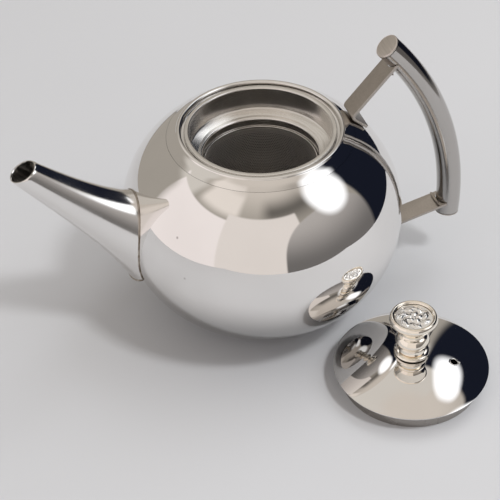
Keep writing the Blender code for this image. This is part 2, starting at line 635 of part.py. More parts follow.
def make_knob_screw_and_washer():
    dome_underside = LID_TOP - LID_SHEET
    washer_top = dome_underside - GAP
    washer_bottom = washer_top - WASHER_THICKNESS
    head_top = washer_bottom - GAP
    washer = turned("knob_washer",
                    [(SCREW_BORE, washer_bottom), (WASHER_RADIUS, washer_bottom),
                     (WASHER_RADIUS, washer_top), (SCREW_BORE, washer_top)],
                    SMALL_SEGMENTS, FASTENER_STEEL, location=(*LID_CENTRE, 0.0))
    outline = [(0.0, head_top - SCREW_HEAD_HEIGHT),
               (0.75 * SCREW_HEAD_RADIUS, head_top - SCREW_HEAD_HEIGHT),
               (SCREW_HEAD_RADIUS, head_top - 0.5 * SCREW_HEAD_HEIGHT),
               (SCREW_HEAD_RADIUS, head_top), (SCREW_RADIUS, head_top),
               (SCREW_RADIUS, head_top + SCREW_LENGTH), (0.0, head_top + SCREW_LENGTH)]
    screw = turned("knob_screw", outline, SMALL_SEGMENTS, FASTENER_STEEL,
                   location=(*LID_CENTRE, 0.0))
    return screw, washer


# ---- assembly -----------------------------------------------------------------------
def group_under(name, origin, members):
    """Parent a moving set to an empty that stands at its joint."""
    empty = bpy.data.objects.new(name, None)
    bpy.context.collection.objects.link(empty)
    empty.location = origin
    bpy.context.view_layer.update()
    for item in members:
        item.parent = empty
        item.matrix_parent_inverse = empty.matrix_world.inverted()


def build_pot():
    body_gap_cutter = turned("body_gap_cutter", solid_body_outline(GAP), BIG_SEGMENTS)
    tube_gap_cutter = object_from_bmesh(
        "tube_gap_cutter", loft_rings(handle_rings(HANDLE_RADIUS + GAP, math.radians(1.0))))
    shell = make_body_shell()
    add_boolean(shell, make_spout_hole_cutter())
    pieces = [shell, make_collar(), make_spout(body_gap_cutter), make_spout_weld(body_gap_cutter),
              make_handle_tube(),
              make_handle_cap("handle_cap_top", HANDLE_TOP_ANGLE, 1),
              make_handle_cap("handle_cap_bottom", HANDLE_BOTTOM_ANGLE, -1)]
    cutters = [body_gap_cutter, tube_gap_cutter]
    upper_middle, upper_along = upper_foot()
    lower_middle, lower_along = lower_foot()
    pieces.append(make_strap("upper_bracket", upper_middle, upper_along,
                             Vector(UPPER_STRAP_POINT), UPPER_STRAP_ANGLE, cutters))
    pieces.append(make_strap("lower_bracket", lower_middle, lower_along,
                             Vector(LOWER_STRAP_POINT), LOWER_STRAP_ANGLE, cutters))
    pieces.append(make_handle_weld("upper_weld", UPPER_STRAP_POINT, UPPER_STRAP_ANGLE, -1))
    pieces.append(make_handle_weld("lower_weld", LOWER_STRAP_POINT, LOWER_STRAP_ANGLE, 1))
    return pieces


def build_strainer():
    return [make_strainer_cup(), make_mesh_wall(), make_mesh_floor(), make_mesh_hem()]


def build_lid():
    return [make_lid_dome(), make_lid_skirt(), make_knob_foot(), make_knob_body(),
            make_medallion(), *make_knob_screw_and_washer()]


def main():
    clear_scene()
    build_pot()
    group_under("strainer_lift", (0.0, 0.0, SEAT_HEIGHT), build_strainer())
    group_under("lid_lift", (*LID_CENTRE, 0.0), build_lid())


main()
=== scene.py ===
"""Steel teapot with its strainer basket and lid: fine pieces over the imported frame."""
from math import acos, asin, atan, atan2, cos, hypot, pi, radians, sin, sqrt, tan

import bmesh
import bpy
from mathutils import Matrix, Vector, noise


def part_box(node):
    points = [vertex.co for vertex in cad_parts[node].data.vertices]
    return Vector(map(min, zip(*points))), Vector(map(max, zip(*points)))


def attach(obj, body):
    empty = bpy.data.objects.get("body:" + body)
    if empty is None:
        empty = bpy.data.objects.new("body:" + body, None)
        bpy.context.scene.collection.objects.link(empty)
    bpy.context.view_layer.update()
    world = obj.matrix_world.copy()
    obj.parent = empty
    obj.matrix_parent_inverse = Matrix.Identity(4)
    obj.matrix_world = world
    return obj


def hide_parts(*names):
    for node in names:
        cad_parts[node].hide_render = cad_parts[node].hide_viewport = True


MM = 0.001

# ---- sizes of the object ----
GAP = 0.3 * MM
FINE = 192                        # facets round the big turned pieces
MEDIUM = 96                       # facets round the small turned pieces

BODY_RADIUS = 70.0 * MM
BELLY_HEIGHT = 57.0 * MM
BELLY_DROP = 61.2 * MM
SHOULDER_POWER = 2.08
BODY_WALL = 1.0 * MM
BASE_DISH = 0.35 * MM             # the base is pressed in by this
CREASE_RADIUS = 45.6 * MM
CREASE_HEIGHT = 103.8 * MM

MOUTH_RADIUS = 38.5 * MM
RIM_WIDTH = 2.4 * MM
RIM_RISE = 4.0 * MM
SEAT_DROP = 2.4 * MM
SEAT_WIDTH = 2.7 * MM
NECK_DEPTH = 2.0 * MM
COLLAR_WALL = 0.9 * MM

CUP_RADIUS = 34.5 * MM
CUP_WALL = 0.7 * MM
CUP_FLANGE_THICKNESS = 1.1 * MM
CUP_FLANGE_WIDTH = 1.8 * MM
CUP_DEPTH = 12.0 * MM
LEDGE_WIDTH = 6.3 * MM
LEDGE_DROP = 3.4 * MM
BAND_HEIGHT = 7.4 * MM
MESH_THICKNESS = 0.5 * MM
MESH_SHEET = 0.28 * MM            # the holed sheet itself
MESH_LAP = 4.3 * MM
MESH_HEIGHT = 47.9 * MM
MESH_PITCH = 1.15 * MM            # hole to hole
MESH_ROW_SHARE = 0.86             # row to row, as a share of that
HEM_WIDTH = 3.2 * MM
HEM_HEIGHT = 5.0 * MM
HEM_SHEET = 0.5 * MM

SPOUT_TIP = (-116.5 * MM, 110.5 * MM)
SPOUT_BEND = (-86.0 * MM, 79.5 * MM)
SPOUT_ROOT = (-62.0 * MM, 61.5 * MM)
SPOUT_TIP_RADIUS = 6.8 * MM
SPOUT_TAPER = 8.3 * MM
SPOUT_FLARE = 6.5 * MM
SPOUT_NARROWING = 0.18
SPOUT_WALL = 0.9 * MM
SPOUT_LIP_ANGLE = radians(63.0)
SPOUT_HOLE_RADIUS = 11.0 * MM

HANDLE_RADIUS = 6.25 * MM
HANDLE_WALL = 1.0 * MM
HANDLE_ARC_CENTRE = (-44.9 * MM, 40.9 * MM)
HANDLE_ARC_RADIUS = 147.2 * MM
HANDLE_TOP_ANGLE = radians(41.9)
HANDLE_BOTTOM_ANGLE = radians(-3.8)
CAP_THICKNESS = 1.0 * MM
CAP_PLUG_LENGTH = 4.0 * MM

STRAP_THICKNESS = 1.5 * MM
STRAP_WIDTH = 12.0 * MM
STRAP_BEND_RADIUS = 2.4 * MM
UPPER_FOOT_RADIUS = 50.0 * MM
UPPER_STRAP_POINT = (64.1 * MM, 127.4 * MM)
UPPER_STRAP_ANGLE = radians(48.2)
LOWER_FOOT_HEIGHT = 27.0 * MM
LOWER_STRAP_POINT = (93.1 * MM, 36.8 * MM)
LOWER_STRAP_ANGLE = radians(12.4)
FOOT_TIP = 3.0 * MM
WELD_RADIUS = 0.8 * MM

LID_RADIUS = 38.0 * MM
LID_RISE = 8.2 * MM
LID_CROWN_POWER = 0.93            # 0.5 would be an ellipse, 1 a parabola
LID_SHEET = 0.8 * MM
SKIRT_RADIUS = 33.9 * MM
SKIRT_SHEET = 0.7 * MM
SKIRT_FLANGE = 1.5 * MM
SKIRT_DEPTH = 8.0 * MM
HEM_RISE = 1.5 * MM
VENT_RADIUS = 1.9 * MM
VENT_FROM_AXIS = 21.0 * MM
VENT_ANGLE = radians(-33.0)

KNOB_FOOT_RADIUS = 8.7 * MM
KNOB_FOOT_HEIGHT = 1.9 * MM
KNOB_WAIST_RADIUS = 6.0 * MM
KNOB_BULB_RADIUS = 8.3 * MM
KNOB_NECK_RADIUS = 5.9 * MM
KNOB_HEAD_RADIUS = 11.7 * MM
KNOB_HEIGHT = 21.3 * MM
MEDALLION_RADIUS = 9.0 * MM
MEDALLION_THICKNESS = 1.0 * MM
MEDALLION_DEPTH = 0.8 * MM
SCREW_RADIUS = 1.9 * MM
SCREW_BORE = 2.3 * MM
SCREW_LENGTH = 10.6 * MM
SCREW_HEAD_RADIUS = 3.6 * MM
SCREW_HEAD_HEIGHT = 2.2 * MM
WASHER_RADIUS = 5.0 * MM
WASHER_THICKNESS = 0.8 * MM

SHOULDER_RISE = ((CREASE_HEIGHT - BELLY_HEIGHT)
                 / (1 - (CREASE_RADIUS / BODY_RADIUS) ** SHOULDER_POWER) ** (1 / SHOULDER_POWER))
RIM_CROWN = CREASE_HEIGHT + RIM_RISE
SEAT_HEIGHT = RIM_CROWN - SEAT_DROP
CUP_TOP = SEAT_HEIGHT + GAP + CUP_FLANGE_THICKNESS
GROOVE_HEIGHT = CUP_TOP - CUP_DEPTH
BAND_RADIUS = CUP_RADIUS - LEDGE_WIDTH
BAND_TOP = GROOVE_HEIGHT - LEDGE_DROP
BAND_BOTTOM = BAND_TOP - BAND_HEIGHT
MESH_RADIUS = BAND_RADIUS - GAP
MESH_TOP = BAND_BOTTOM + MESH_LAP
MESH_BOTTOM = MESH_TOP - MESH_HEIGHT
HANDLE_CENTRE = Vector((HANDLE_ARC_CENTRE[0], 0.0, HANDLE_ARC_CENTRE[1]))
LID_HEM = SKIRT_DEPTH
LID_WIDEST = LID_HEM + HEM_RISE
LID_TOP = LID_WIDEST + LID_RISE
KNOB_FOOT_BOTTOM = LID_TOP + GAP
KNOB_BOTTOM = KNOB_FOOT_BOTTOM + KNOB_FOOT_HEIGHT + GAP

# ---- camera and room ----
CAMERA_POSITION = Vector((-0.1993, -0.6133, 0.5764))
CAMERA_FORWARD = Vector((0.22878, 0.72814, -0.64612))
CAMERA_UP = Vector((0.21437, 0.60975, 0.76305))
CAMERA_LENS = 119.0               # mm on a 36 mm sensor
TABLE_HALF_SIZE = 0.47
LAMP_AIM = Vector((0.02, -0.04, 0.08))
LAMP_DISTANCE = 1.8
LAMP_COLOUR = (1.0, 0.99, 0.98)
GLOW_COLOUR = (1.6, 1.62, 1.66)

STEEL_TINT = (0.86, 0.845, 0.83)
STAIN_COLOUR = (0.30, 0.22, 0.14)
PIT_COLOUR = (0.05, 0.035, 0.025)
LONG_WIPES = (60.0, 60.0, 1400.0)     # marks per metre along x, y and z
CROSS_WIPES = (1500.0, 70.0, 70.0)
PAINTED_SHADE_BELOW = 26.0 * MM            # painted shade: belly steel colour is darkest below this height
# painted shade fades out above this height
PAINTED_SHADE_CLEAR_ABOVE = 56.0 * MM


# ---- node helpers ----
class Nodes:
    """Small helper that adds and links shader nodes."""

    def __init__(self, tree):
        self.tree = tree

    def add(self, kind, **settings):
        node = self.tree.nodes.new(kind)
        for key, value in settings.items():
            setattr(node, key, value)
        return node

    def feed(self, socket, value):
        if isinstance(value, bpy.types.NodeSocket):
            self.tree.links.new(value, socket)
        else:
            socket.default_value = value

    def math(self, operation, first, second=0.0, third=0.0):
        node = self.add("ShaderNodeMath", operation=operation)
        for socket, value in zip(node.inputs, (first, second, third)):
            self.feed(socket, value)
        return node.outputs[0]

    def ramp(self, value, low, high, to_low=0.0, to_high=1.0):
        node = self.add("ShaderNodeMapRange", interpolation_type="SMOOTHSTEP")
        for key, part in (("Value", value), ("From Min", low), ("From Max", high),
                          ("To Min", to_low), ("To Max", to_high)):
            self.feed(node.inputs[key], part)
        return node.outputs["Result"]

    def mix(self, share, first, second):
        node = self.add("ShaderNodeMix", data_type="RGBA")
        self.feed(node.inputs[0], share)
        for socket, value in ((node.inputs[6], first), (node.inputs[7], second)):
            if isinstance(value, tuple) and len(value) == 3:
                value = (*value, 1.0)
            self.feed(socket, value)
        return node.outputs[2]

    def place(self, scale=(1.0, 1.0, 1.0), rotation=(0.0, 0.0, 0.0)):
        coordinates = self.add("ShaderNodeTexCoord")
        mapping = self.add("ShaderNodeMapping")
        self.feed(mapping.inputs["Vector"], coordinates.outputs["Object"])
        self.feed(mapping.inputs["Scale"], scale)
        self.feed(mapping.inputs["Rotation"], rotation)
        return mapping.outputs["Vector"]

    def noise(self, vector, scale, detail=3.0, roughness=0.5):
        node = self.add("ShaderNodeTexNoise")
        for key, part in (("Vector", vector), ("Scale", scale), ("Detail", detail),
                          ("Roughness", roughness)):
            self.feed(node.inputs[key], part)
        return node.outputs["Fac"]

    def height(self, vector):
        node = self.add("ShaderNodeSeparateXYZ")
        self.feed(node.inputs[0], vector)
        return node.outputs[2]

    def bump(self, height, distance, normal=None):
        node = self.add("ShaderNodeBump")
        self.feed(node.inputs["Strength"], 1.0)
        self.feed(node.inputs["Distance"], distance)
        self.feed(node.inputs["Height"], height)
        if normal is not None:
            self.feed(node.inputs["Normal"], normal)
        return node.outputs["Normal"]


def new_material(name):
    """Fresh material with its node helper and shader."""
    material = bpy.data.materials.new(name)
    material.use_nodes = True
    n = Nodes(material.node_tree)
    shader = material.node_tree.nodes["Principled BSDF"]
    return material, n, shader


def steel(name, tint=STEEL_TINT, roughness=0.04, wave=0.02 * MM, peel=0.0, scratch=0.05,
          grain=0.0, grain_scale=(900.0, 900.0, 40.0), stain=0.0, speck=0.0, painted_shade_level=1.0):
    """Metal with slow dents, fine wipe marks, optional brushing, stains and pits, and optional painted
    shade that darkens its colour towards the bottom.
    """
    material, n, shader = new_material(name)
    n.feed(shader.inputs["Metallic"], 1.0)
    plain = n.place()
    dents = n.noise(plain, 26.0, 2.0)
    normal = n.bump(dents, wave)
    if peel:
        normal = n.bump(n.noise(plain, 240.0, 2.0), peel, normal)
    long_way = n.noise(n.place(scale=LONG_WIPES, rotation=(0.5, 0.3, 0.0)), 1.0, 4.0, 0.7)
    cross_way = n.noise(n.place(scale=CROSS_WIPES, rotation=(0.2, 0.7, 0.9)), 1.0, 4.0, 0.7)
    wipes = n.math("MAXIMUM", n.ramp(long_way, 0.60, 0.78), n.ramp(cross_way, 0.62, 0.80))
    rough = n.math("MULTIPLY_ADD", wipes, scratch, roughness)
    cloud = n.ramp(n.noise(plain, 45.0, 4.0, 0.6), 0.45, 0.75)
    rough = n.math("MULTIPLY_ADD", cloud, 0.6 * roughness, rough)
    colour = n.mix(n.ramp(n.noise(plain, 18.0, 3.0), 0.3, 0.7),
                   tuple(0.97 * c for c in tint), tuple(min(1.0, 1.03 * c) for c in tint))
    if grain:
        lines = n.noise(n.place(scale=grain_scale), 1.0, 3.0, 0.8)
        normal = n.bump(lines, grain, normal)
        rough = n.math("MULTIPLY_ADD", lines, 0.12, rough)
        colour = n.mix(n.ramp(lines, 0.35, 0.65), tuple(0.9 * c for c in tint), colour)
    if stain:
        patch = n.ramp(n.noise(plain, 70.0, 5.0, 0.65), 0.62, 0.80, 0.0, stain)
        colour = n.mix(patch, colour, STAIN_COLOUR)
        rough = n.math("MULTIPLY_ADD", patch, 0.25, rough)
    if speck:
        pits = n.add("ShaderNodeTexVoronoi")
        n.feed(pits.inputs["Vector"], plain)
        n.feed(pits.inputs["Scale"], 90.0)
        spot = n.ramp(pits.outputs["Distance"], 0.035, 0.09, 1.0, 0.0)
        keep = n.ramp(n.noise(plain, 33.0, 1.0), 0.60, 0.64)
        spot = n.math("MULTIPLY", n.math("MULTIPLY", spot, keep), speck)
        colour = n.mix(spot, colour, PIT_COLOUR)
        rough = n.math("MULTIPLY_ADD", spot, 0.4, rough)
    # painted shade: colour darkened towards the bottom, standing in for the contact shadow that the lower
    # belly reflects
    if painted_shade_level < 1.0:
        share = n.ramp(n.height(plain), PAINTED_SHADE_BELOW, PAINTED_SHADE_CLEAR_ABOVE)
        colour = n.mix(share, tuple(painted_shade_level * c for c in tint), colour)
    n.feed(shader.inputs["Base Color"], colour)
    n.feed(shader.inputs["Roughness"], rough)
    n.feed(shader.inputs["Normal"], normal)
    return material


def weld_metal(name, heat):
    """Rippled bead with straw and blue heat tint."""
    material, n, shader = new_material(name)
    plain = n.place()
    tone = n.noise(plain, 160.0, 4.0, 0.6)
    colour = n.mix(n.ramp(tone, 0.35, 0.6), (0.20, 0.16, 0.12), (0.55, 0.50, 0.44))
    colour = n.mix(n.ramp(n.noise(plain, 90.0, 2.0), 0.5, 0.7, 0.0, heat), colour, (0.10, 0.09, 0.11))
    n.feed(shader.inputs["Metallic"], 1.0)
    n.feed(shader.inputs["Base Color"], colour)
    n.feed(shader.inputs["Roughness"], n.ramp(tone, 0.3, 0.7, 0.28, 0.5))
    n.feed(shader.inputs["Normal"], n.bump(n.noise(plain, 700.0, 3.0), 0.12 * MM))
    return material


# ---- mesh helpers ----
def turns(count):
    """Evenly spaced angles round a circle."""
    return [2 * pi * k / count for k in range(count)]


def add_object(name, data):
    """New object in the scene."""
    made = bpy.data.objects.new(name, data)
    bpy.context.scene.collection.objects.link(made)
    return made


def smooth(mesh, angle=32.0):
    mesh.shade_smooth()
    mesh.set_sharp_from_angle(angle=radians(angle))


def finish_mesh(name, shape, material, angle=32.0):
    """Object from a bmesh, with its faces pointing out."""
    bmesh.ops.recalc_face_normals(shape, faces=shape.faces)
    mesh = bpy.data.meshes.new(name)
    shape.to_mesh(mesh)
    shape.free()
    smooth(mesh, angle)
    piece = add_object(name, mesh)
    if material:
        mesh.materials.append(material)
    return piece


def bent(start, middle, end, t):
    """Point at a share t of the curve from start to end, pulled toward the middle."""
    return start * (1 - t) ** 2 + middle * 2 * t * (1 - t) + end * t ** 2


def fillet(points, steps=5):
    """Round the corners of a closed outline; a third value on a point is its radius."""
    result = []
    count = len(points)
    for i, point in enumerate(points):
        here = Vector(point[:2])
        radius = point[2] if len(point) > 2 else 0.0
        if radius <= 0:
            result.append((here.x, here.y))
            continue
        before = Vector(points[i - 1][:2]) - here
        after = Vector(points[(i + 1) % count][:2]) - here
        half = before.angle(after) / 2
        reach = min(radius / tan(half), 0.48 * before.length, 0.48 * after.length)
        start = here + before.normalized() * reach
        end = here + after.normalized() * reach
        result += [tuple(bent(start, here, end, k / steps)) for k in range(steps + 1)]
    return result


def curve_through(points, per_span=6):
    """Catmull-Rom curve through (radius, height) points."""
    result = []
    for i in range(len(points) - 1):
        p0 = Vector(points[max(i - 1, 0)])
        p1 = Vector(points[i])
        p2 = Vector(points[i + 1])
        p3 = Vector(points[min(i + 2, len(points) - 1)])
        for k in range(per_span):
            t = k / per_span
            spot = 0.5 * (2 * p1 + (p2 - p0) * t + (2 * p0 - 5 * p1 + 4 * p2 - p3) * t ** 2
                          + (3 * p1 - p0 - 3 * p2 + p3) * t ** 3)
            result.append((spot.x, spot.y))
    result.append(tuple(points[-1]))
    return result


def revolve(name, outline, segments, material, centre=(0.0, 0.0), angle=32.0):
    """Turn a closed (radius, height) outline round a vertical axis."""
    shape = bmesh.new()
    rings = []
    for radius, height in outline:
        if radius < 1e-7:
            rings.append([shape.verts.new((centre[0], centre[1], height))])
            continue
        rings.append([shape.verts.new((centre[0] + radius * cos(turn),
                                       centre[1] + radius * sin(turn), height))
                      for turn in turns(segments)])
    for i, b in enumerate(rings):
        a = rings[i - 1]
        if len(a) == 1 and len(b) == 1:
            continue
        for k in range(segments):
            nxt = (k + 1) % segments
            corners = [a[k % len(a)], a[nxt % len(a)], b[nxt % len(b)], b[k % len(b)]]
            unique = []
            for corner in corners:
                if corner not in unique:
                    unique.append(corner)
            if len(unique) > 2:
                shape.faces.new(unique)
    return finish_mesh(name, shape, material, angle)


def loft(name, rings, material, angle=32.0, capped=False):
    """Skin rings of points; without caps the last ring joins the first."""
    shape = bmesh.new()
    loops = [[shape.verts.new(point) for point in ring] for ring in rings]
    pairs = list(zip(loops, loops[1:]))
    if not capped:
        pairs.append((loops[-1], loops[0]))
    for lower, upper in pairs:
        for i in range(len(lower)):
            shape.faces.new((lower[i - 1], lower[i], upper[i], upper[i - 1]))
    if capped:
        shape.faces.new(loops[0])
        shape.faces.new(loops[-1])
    return finish_mesh(name, shape, material, angle)


def facing(direction):
    """Turn that points the Z axis along a direction."""
    return Vector((0, 0, 1)).rotation_difference(direction).to_matrix().to_4x4()


def drill(piece, radius, depth, matrix, segments):
    """Cut a round hole, centred on a matrix."""
    hole = bmesh.new()
    bmesh.ops.create_cone(hole, cap_ends=True, segments=segments, radius1=radius, radius2=radius,
                          depth=depth, matrix=matrix)
    subtract(piece, finish_mesh("cutter", hole, None))


def subtract(piece, cutter):
    """Boolean applied at once, and the cutter removed."""
    modifier = piece.modifiers.new("cut", "BOOLEAN")
    modifier.operation = "DIFFERENCE"
    modifier.solver = "EXACT"
    modifier.object = cutter
    settle(piece)
    bpy.data.objects.remove(cutter)


def settle(piece):
    """Apply a piece's modifiers."""
    graph = bpy.context.evaluated_depsgraph_get()
    mesh = bpy.data.meshes.new_from_object(piece.evaluated_get(graph))
    piece.modifiers.clear()
    piece.data = mesh


def install(piece, body, *nodes):
    """Let a piece ride on its body in place of the CAD nodes it shows."""
    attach(piece, body)
    if nodes:
        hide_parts(*nodes)


# ---- pot ----
def shoulder_height(radius):
    share = 1 - (radius / BODY_RADIUS) ** SHOULDER_POWER
    return BELLY_HEIGHT + SHOULDER_RISE * max(share, 0.0) ** (1 / SHOULDER_POWER)


def body_profile(grow=0.0, count=48):
    """Outside of the body, from the flat base's edge up to the crease."""
    points = []
    start = asin(-BELLY_HEIGHT / BELLY_DROP)
    for i in range(count + 1):
        turn = start * (1 - i / count)
        points.append((BODY_RADIUS * cos(turn), BELLY_HEIGHT + BELLY_DROP * sin(turn)))
    end = acos((CREASE_RADIUS + 0.1 * MM) / BODY_RADIUS)
    for i in range(1, count + 1):
        radius = BODY_RADIUS * cos(end * i / count)
        points.append((radius, shoulder_height(radius)))
    return offset(points, -grow) if grow else points


def offset(points, distance):
    """Move an open outline to its left-hand side by a distance."""
    moved = []
    for i, (x, z) in enumerate(points):
        before = points[max(i - 1, 0)]
        after = points[min(i + 1, len(points) - 1)]
        along = Vector((after[0] - before[0], after[1] - before[1])).normalized()
        moved.append((x - along.y * distance, z + along.x * distance))
    return moved


def body_field(point):
    """Below zero inside the body, and about the distance in metres near its surface."""
    radius = hypot(point.x, point.y)
    height = point.z - BELLY_HEIGHT
    if height > 0:
        power = SHOULDER_POWER
        share = (radius / BODY_RADIUS) ** power + (height / SHOULDER_RISE) ** power
        return (share ** (1 / power) - 1) * BODY_RADIUS
    share = (radius / BODY_RADIUS) ** 2 + (height / BELLY_DROP) ** 2
    return (sqrt(share) - 1) * BODY_RADIUS


def body_cutter(grow):
    grown = body_profile(grow)
    outline = [(0.0, -grow)] + grown + [(grown[-1][0] - 0.2 * MM, CREASE_HEIGHT), (0.0, CREASE_HEIGHT)]
    return revolve("cutter", outline, FINE, None)


def make_body(material):
    outside = body_profile()
    inside = [point for point in offset(outside, BODY_WALL) if point[1] > 1.3 * BODY_WALL]
    base_edge = outside[0][0]
    outline = ([(0.0, BASE_DISH), (0.8 * base_edge, BASE_DISH), (0.86 * base_edge, 0.0)]
               + outside + inside[::-1] + [(0.0, BODY_WALL + 0.2 * MM)])
    body = revolve("pot_body", outline, FINE, material)
    centre, direction = spout_axis(0.85)
    drill(body, SPOUT_HOLE_RADIUS, 3 * SPOUT_HOLE_RADIUS,
          Matrix.Translation(centre) @ facing(direction), 64)
    return body


def make_collar(material):
    rim_outer = MOUTH_RADIUS + RIM_WIDTH
    bead = RIM_WIDTH / 2
    bead_centre = RIM_CROWN - 0.6 * bead
    wall = COLLAR_WALL
    slope = Vector((CREASE_RADIUS - rim_outer, CREASE_HEIGHT - bead_centre)).normalized()
    middle = (0.5 * (CREASE_RADIUS + rim_outer), 0.5 * (CREASE_HEIGHT + bead_centre) + 0.15 * MM)
    outside = curve_through([(CREASE_RADIUS, CREASE_HEIGHT), middle,
                             (rim_outer + 0.1 * MM, bead_centre)], 10)
    steps = 16
    for i in range(1, steps):
        angle = pi * i / steps
        outside.append((MOUTH_RADIUS + bead + bead * cos(angle),
                        bead_centre + 0.6 * bead * sin(angle)))
    corners = [(MOUTH_RADIUS, bead_centre), (MOUTH_RADIUS, SEAT_HEIGHT, 0.3 * MM),
               (MOUTH_RADIUS - SEAT_WIDTH, SEAT_HEIGHT, 0.4 * MM),
               (MOUTH_RADIUS - SEAT_WIDTH, SEAT_HEIGHT - NECK_DEPTH),
               (MOUTH_RADIUS - SEAT_WIDTH + wall, SEAT_HEIGHT - NECK_DEPTH),
               (MOUTH_RADIUS - SEAT_WIDTH + wall, SEAT_HEIGHT - wall),
               (MOUTH_RADIUS + wall, SEAT_HEIGHT - wall),
               (MOUTH_RADIUS + wall, bead_centre - wall / 2),
               (rim_outer - wall / 2, bead_centre - wall),
               (CREASE_RADIUS + slope.y * wall, CREASE_HEIGHT - slope.x * wall)]
    return revolve("pot_collar", outside + fillet(corners), FINE, material)


def spout_axis(share):
    tip, bend, root = (Vector((p[0], 0, p[1])) for p in (SPOUT_TIP, SPOUT_BEND, SPOUT_ROOT))
    direction = ((bend - tip) * (1 - share) + (root - bend) * share).normalized()
    return bent(tip, bend, root, share), direction


def spout_point(share, angle, grow):
    centre, direction = spout_axis(share)
    across = Vector((0, 1, 0))
    up = direction.cross(across)
    plain = SPOUT_TIP_RADIUS + SPOUT_TAPER * share + SPOUT_FLARE * max(share, 0.0) ** 3
    width = plain * (1 - SPOUT_NARROWING * share ** 2) + grow
    return centre + width * cos(angle) * across + (plain + grow) * sin(angle) * up


def find_share(test, low, high):
    """Share at which a rising test crosses zero."""
    for _ in range(40):
        middle = 0.5 * (low + high)
        if test(middle) > 0:
            high = middle
        else:
            low = middle
    return 0.5 * (low + high)


def lip_share(angle, grow):
    normal = Vector((-cos(SPOUT_LIP_ANGLE), 0, sin(SPOUT_LIP_ANGLE)))
    centre = spout_axis(0.0)[0]
    return find_share(lambda s: -(spout_point(s, angle, grow) - centre).dot(normal), -0.4, 0.4)


def seam_share(angle, grow, away):
    return find_share(lambda s: away - body_field(spout_point(s, angle, grow)), 0.2, 1.15)


def make_spout(material):
    stations = 90
    angles = turns(128)

    def ring(grow, lip_in, share):
        points = []
        for angle in angles:
            start = lip_share(angle, grow) + lip_in
            end = seam_share(angle, grow, GAP)
            points.append(spout_point(start + (end - start) * share, angle, grow))
        return points

    edge = 0.004                  # share of the length where the lip is rounded
    rings = [ring(-0.28 * SPOUT_WALL, 0.0, 0.0), ring(-0.08 * SPOUT_WALL, edge, 0.0)]
    rings += [ring(0.0, 3 * edge, i / stations) for i in range(stations + 1)]
    rings += [ring(-SPOUT_WALL, 3 * edge, i / stations) for i in range(stations, -1, -6)]
    rings += [ring(-0.92 * SPOUT_WALL, edge, 0.0), ring(-0.72 * SPOUT_WALL, 0.0, 0.0)]
    return loft("pot_spout", rings, material)


def make_spout_weld(material):
    """Ground bead along the seam, with a slightly uneven width."""
    count = 256
    sides = 10
    sink = 0.15 * MM
    bead = 0.36 * MM
    seam = [spout_point(seam_share(angle, sink, 0.22 * MM), angle, sink) for angle in turns(count)]
    rings = []
    for i, point in enumerate(seam):
        along = (seam[(i + 1) % count] - seam[i - 1]).normalized()
        outward = Vector((point.x, point.y, 0)).normalized()
        side = along.cross(outward).normalized()
        outward = side.cross(along).normalized()
        size = bead * (1 + 0.3 * noise.noise(point * 350))
        rings.append([point + size * (cos(a) * side + 0.8 * sin(a) * outward)
                      for a in turns(sides)])
    return loft("spout_seam", rings, material, angle=80.0)


# ---- handle ----
def handle_point(angle):
    return HANDLE_CENTRE + HANDLE_ARC_RADIUS * Vector((cos(angle), 0, sin(angle)))


def handle_ring(angle, radius, count):
    centre = handle_point(angle)
    outward = Vector((cos(angle), 0, sin(angle)))
    across = Vector((0, 1, 0))
    return [centre + radius * (cos(a) * outward + sin(a) * across) for a in turns(count)]


def handle_rings(radius, past=0.0, stations=120, count=MEDIUM):
    low = HANDLE_BOTTOM_ANGLE - past
    high = HANDLE_TOP_ANGLE + past
    return [handle_ring(low + (high - low) * i / stations, radius, count)
            for i in range(stations + 1)]


def make_handle(material):
    outer = handle_rings(HANDLE_RADIUS)
    inner = handle_rings(HANDLE_RADIUS - HANDLE_WALL, stations=30)
    return loft("handle_grip", outer + inner[::-1], material)


def make_cap(name, angle, side, material):
    plug = HANDLE_RADIUS - HANDLE_WALL - GAP
    dome = 0.25 * MM
    outline = fillet([(0.0, -CAP_PLUG_LENGTH), (plug, -CAP_PLUG_LENGTH), (plug, GAP),
                      (HANDLE_RADIUS, GAP, 0.1 * MM),
                      (HANDLE_RADIUS, GAP + CAP_THICKNESS - dome, 0.35 * MM)])
    outline += [(HANDLE_RADIUS * (1 - i / 10),
                 GAP + CAP_THICKNESS - dome * (1 - i / 10) ** 2) for i in range(1, 11)]
    cap = revolve(name, outline, MEDIUM, material)
    tangent = side * Vector((-sin(angle), 0, cos(angle)))
    cap.data.transform(Matrix.Translation(handle_point(angle)) @ facing(tangent))
    return cap


def unit(angle):
    return Vector((cos(angle), sin(angle)))


def crossing(point_a, along_a, point_b, along_b):
    across = along_a.x * along_b.y - along_a.y * along_b.x
    between = point_b - point_a
    return point_a + along_a * ((between.x * along_b.y - between.y * along_b.x) / across)


def upper_foot():
    step = 0.5 * MM
    low, high = (Vector((radius, shoulder_height(radius)))
                 for radius in (UPPER_FOOT_RADIUS + step, UPPER_FOOT_RADIUS - step))
    along = (high - low).normalized()
    outward = Vector((along.y, -along.x))
    return 0.5 * (low + high) + outward * (GAP + STRAP_THICKNESS / 2), along


def lower_foot():
    drop = (LOWER_FOOT_HEIGHT - BELLY_HEIGHT) / BELLY_DROP
    radius = BODY_RADIUS * sqrt(1 - drop ** 2)
    outward = Vector((radius / BODY_RADIUS ** 2, drop / BELLY_DROP)).normalized()
    along = Vector((-outward.y, outward.x))
    return Vector((radius, LOWER_FOOT_HEIGHT)) + outward * (GAP + STRAP_THICKNESS / 2), along


def strap_line(first, bend, last):
    """Middle line of a strap with its bend rounded."""
    before = (first - bend).normalized()
    after = (last - bend).normalized()
    reach = STRAP_BEND_RADIUS / tan(before.angle(after) / 2)
    start = bend + before * reach
    end = bend + after * reach
    return [first] + [bent(start, bend, end, k / 12) for k in range(13)] + [last]


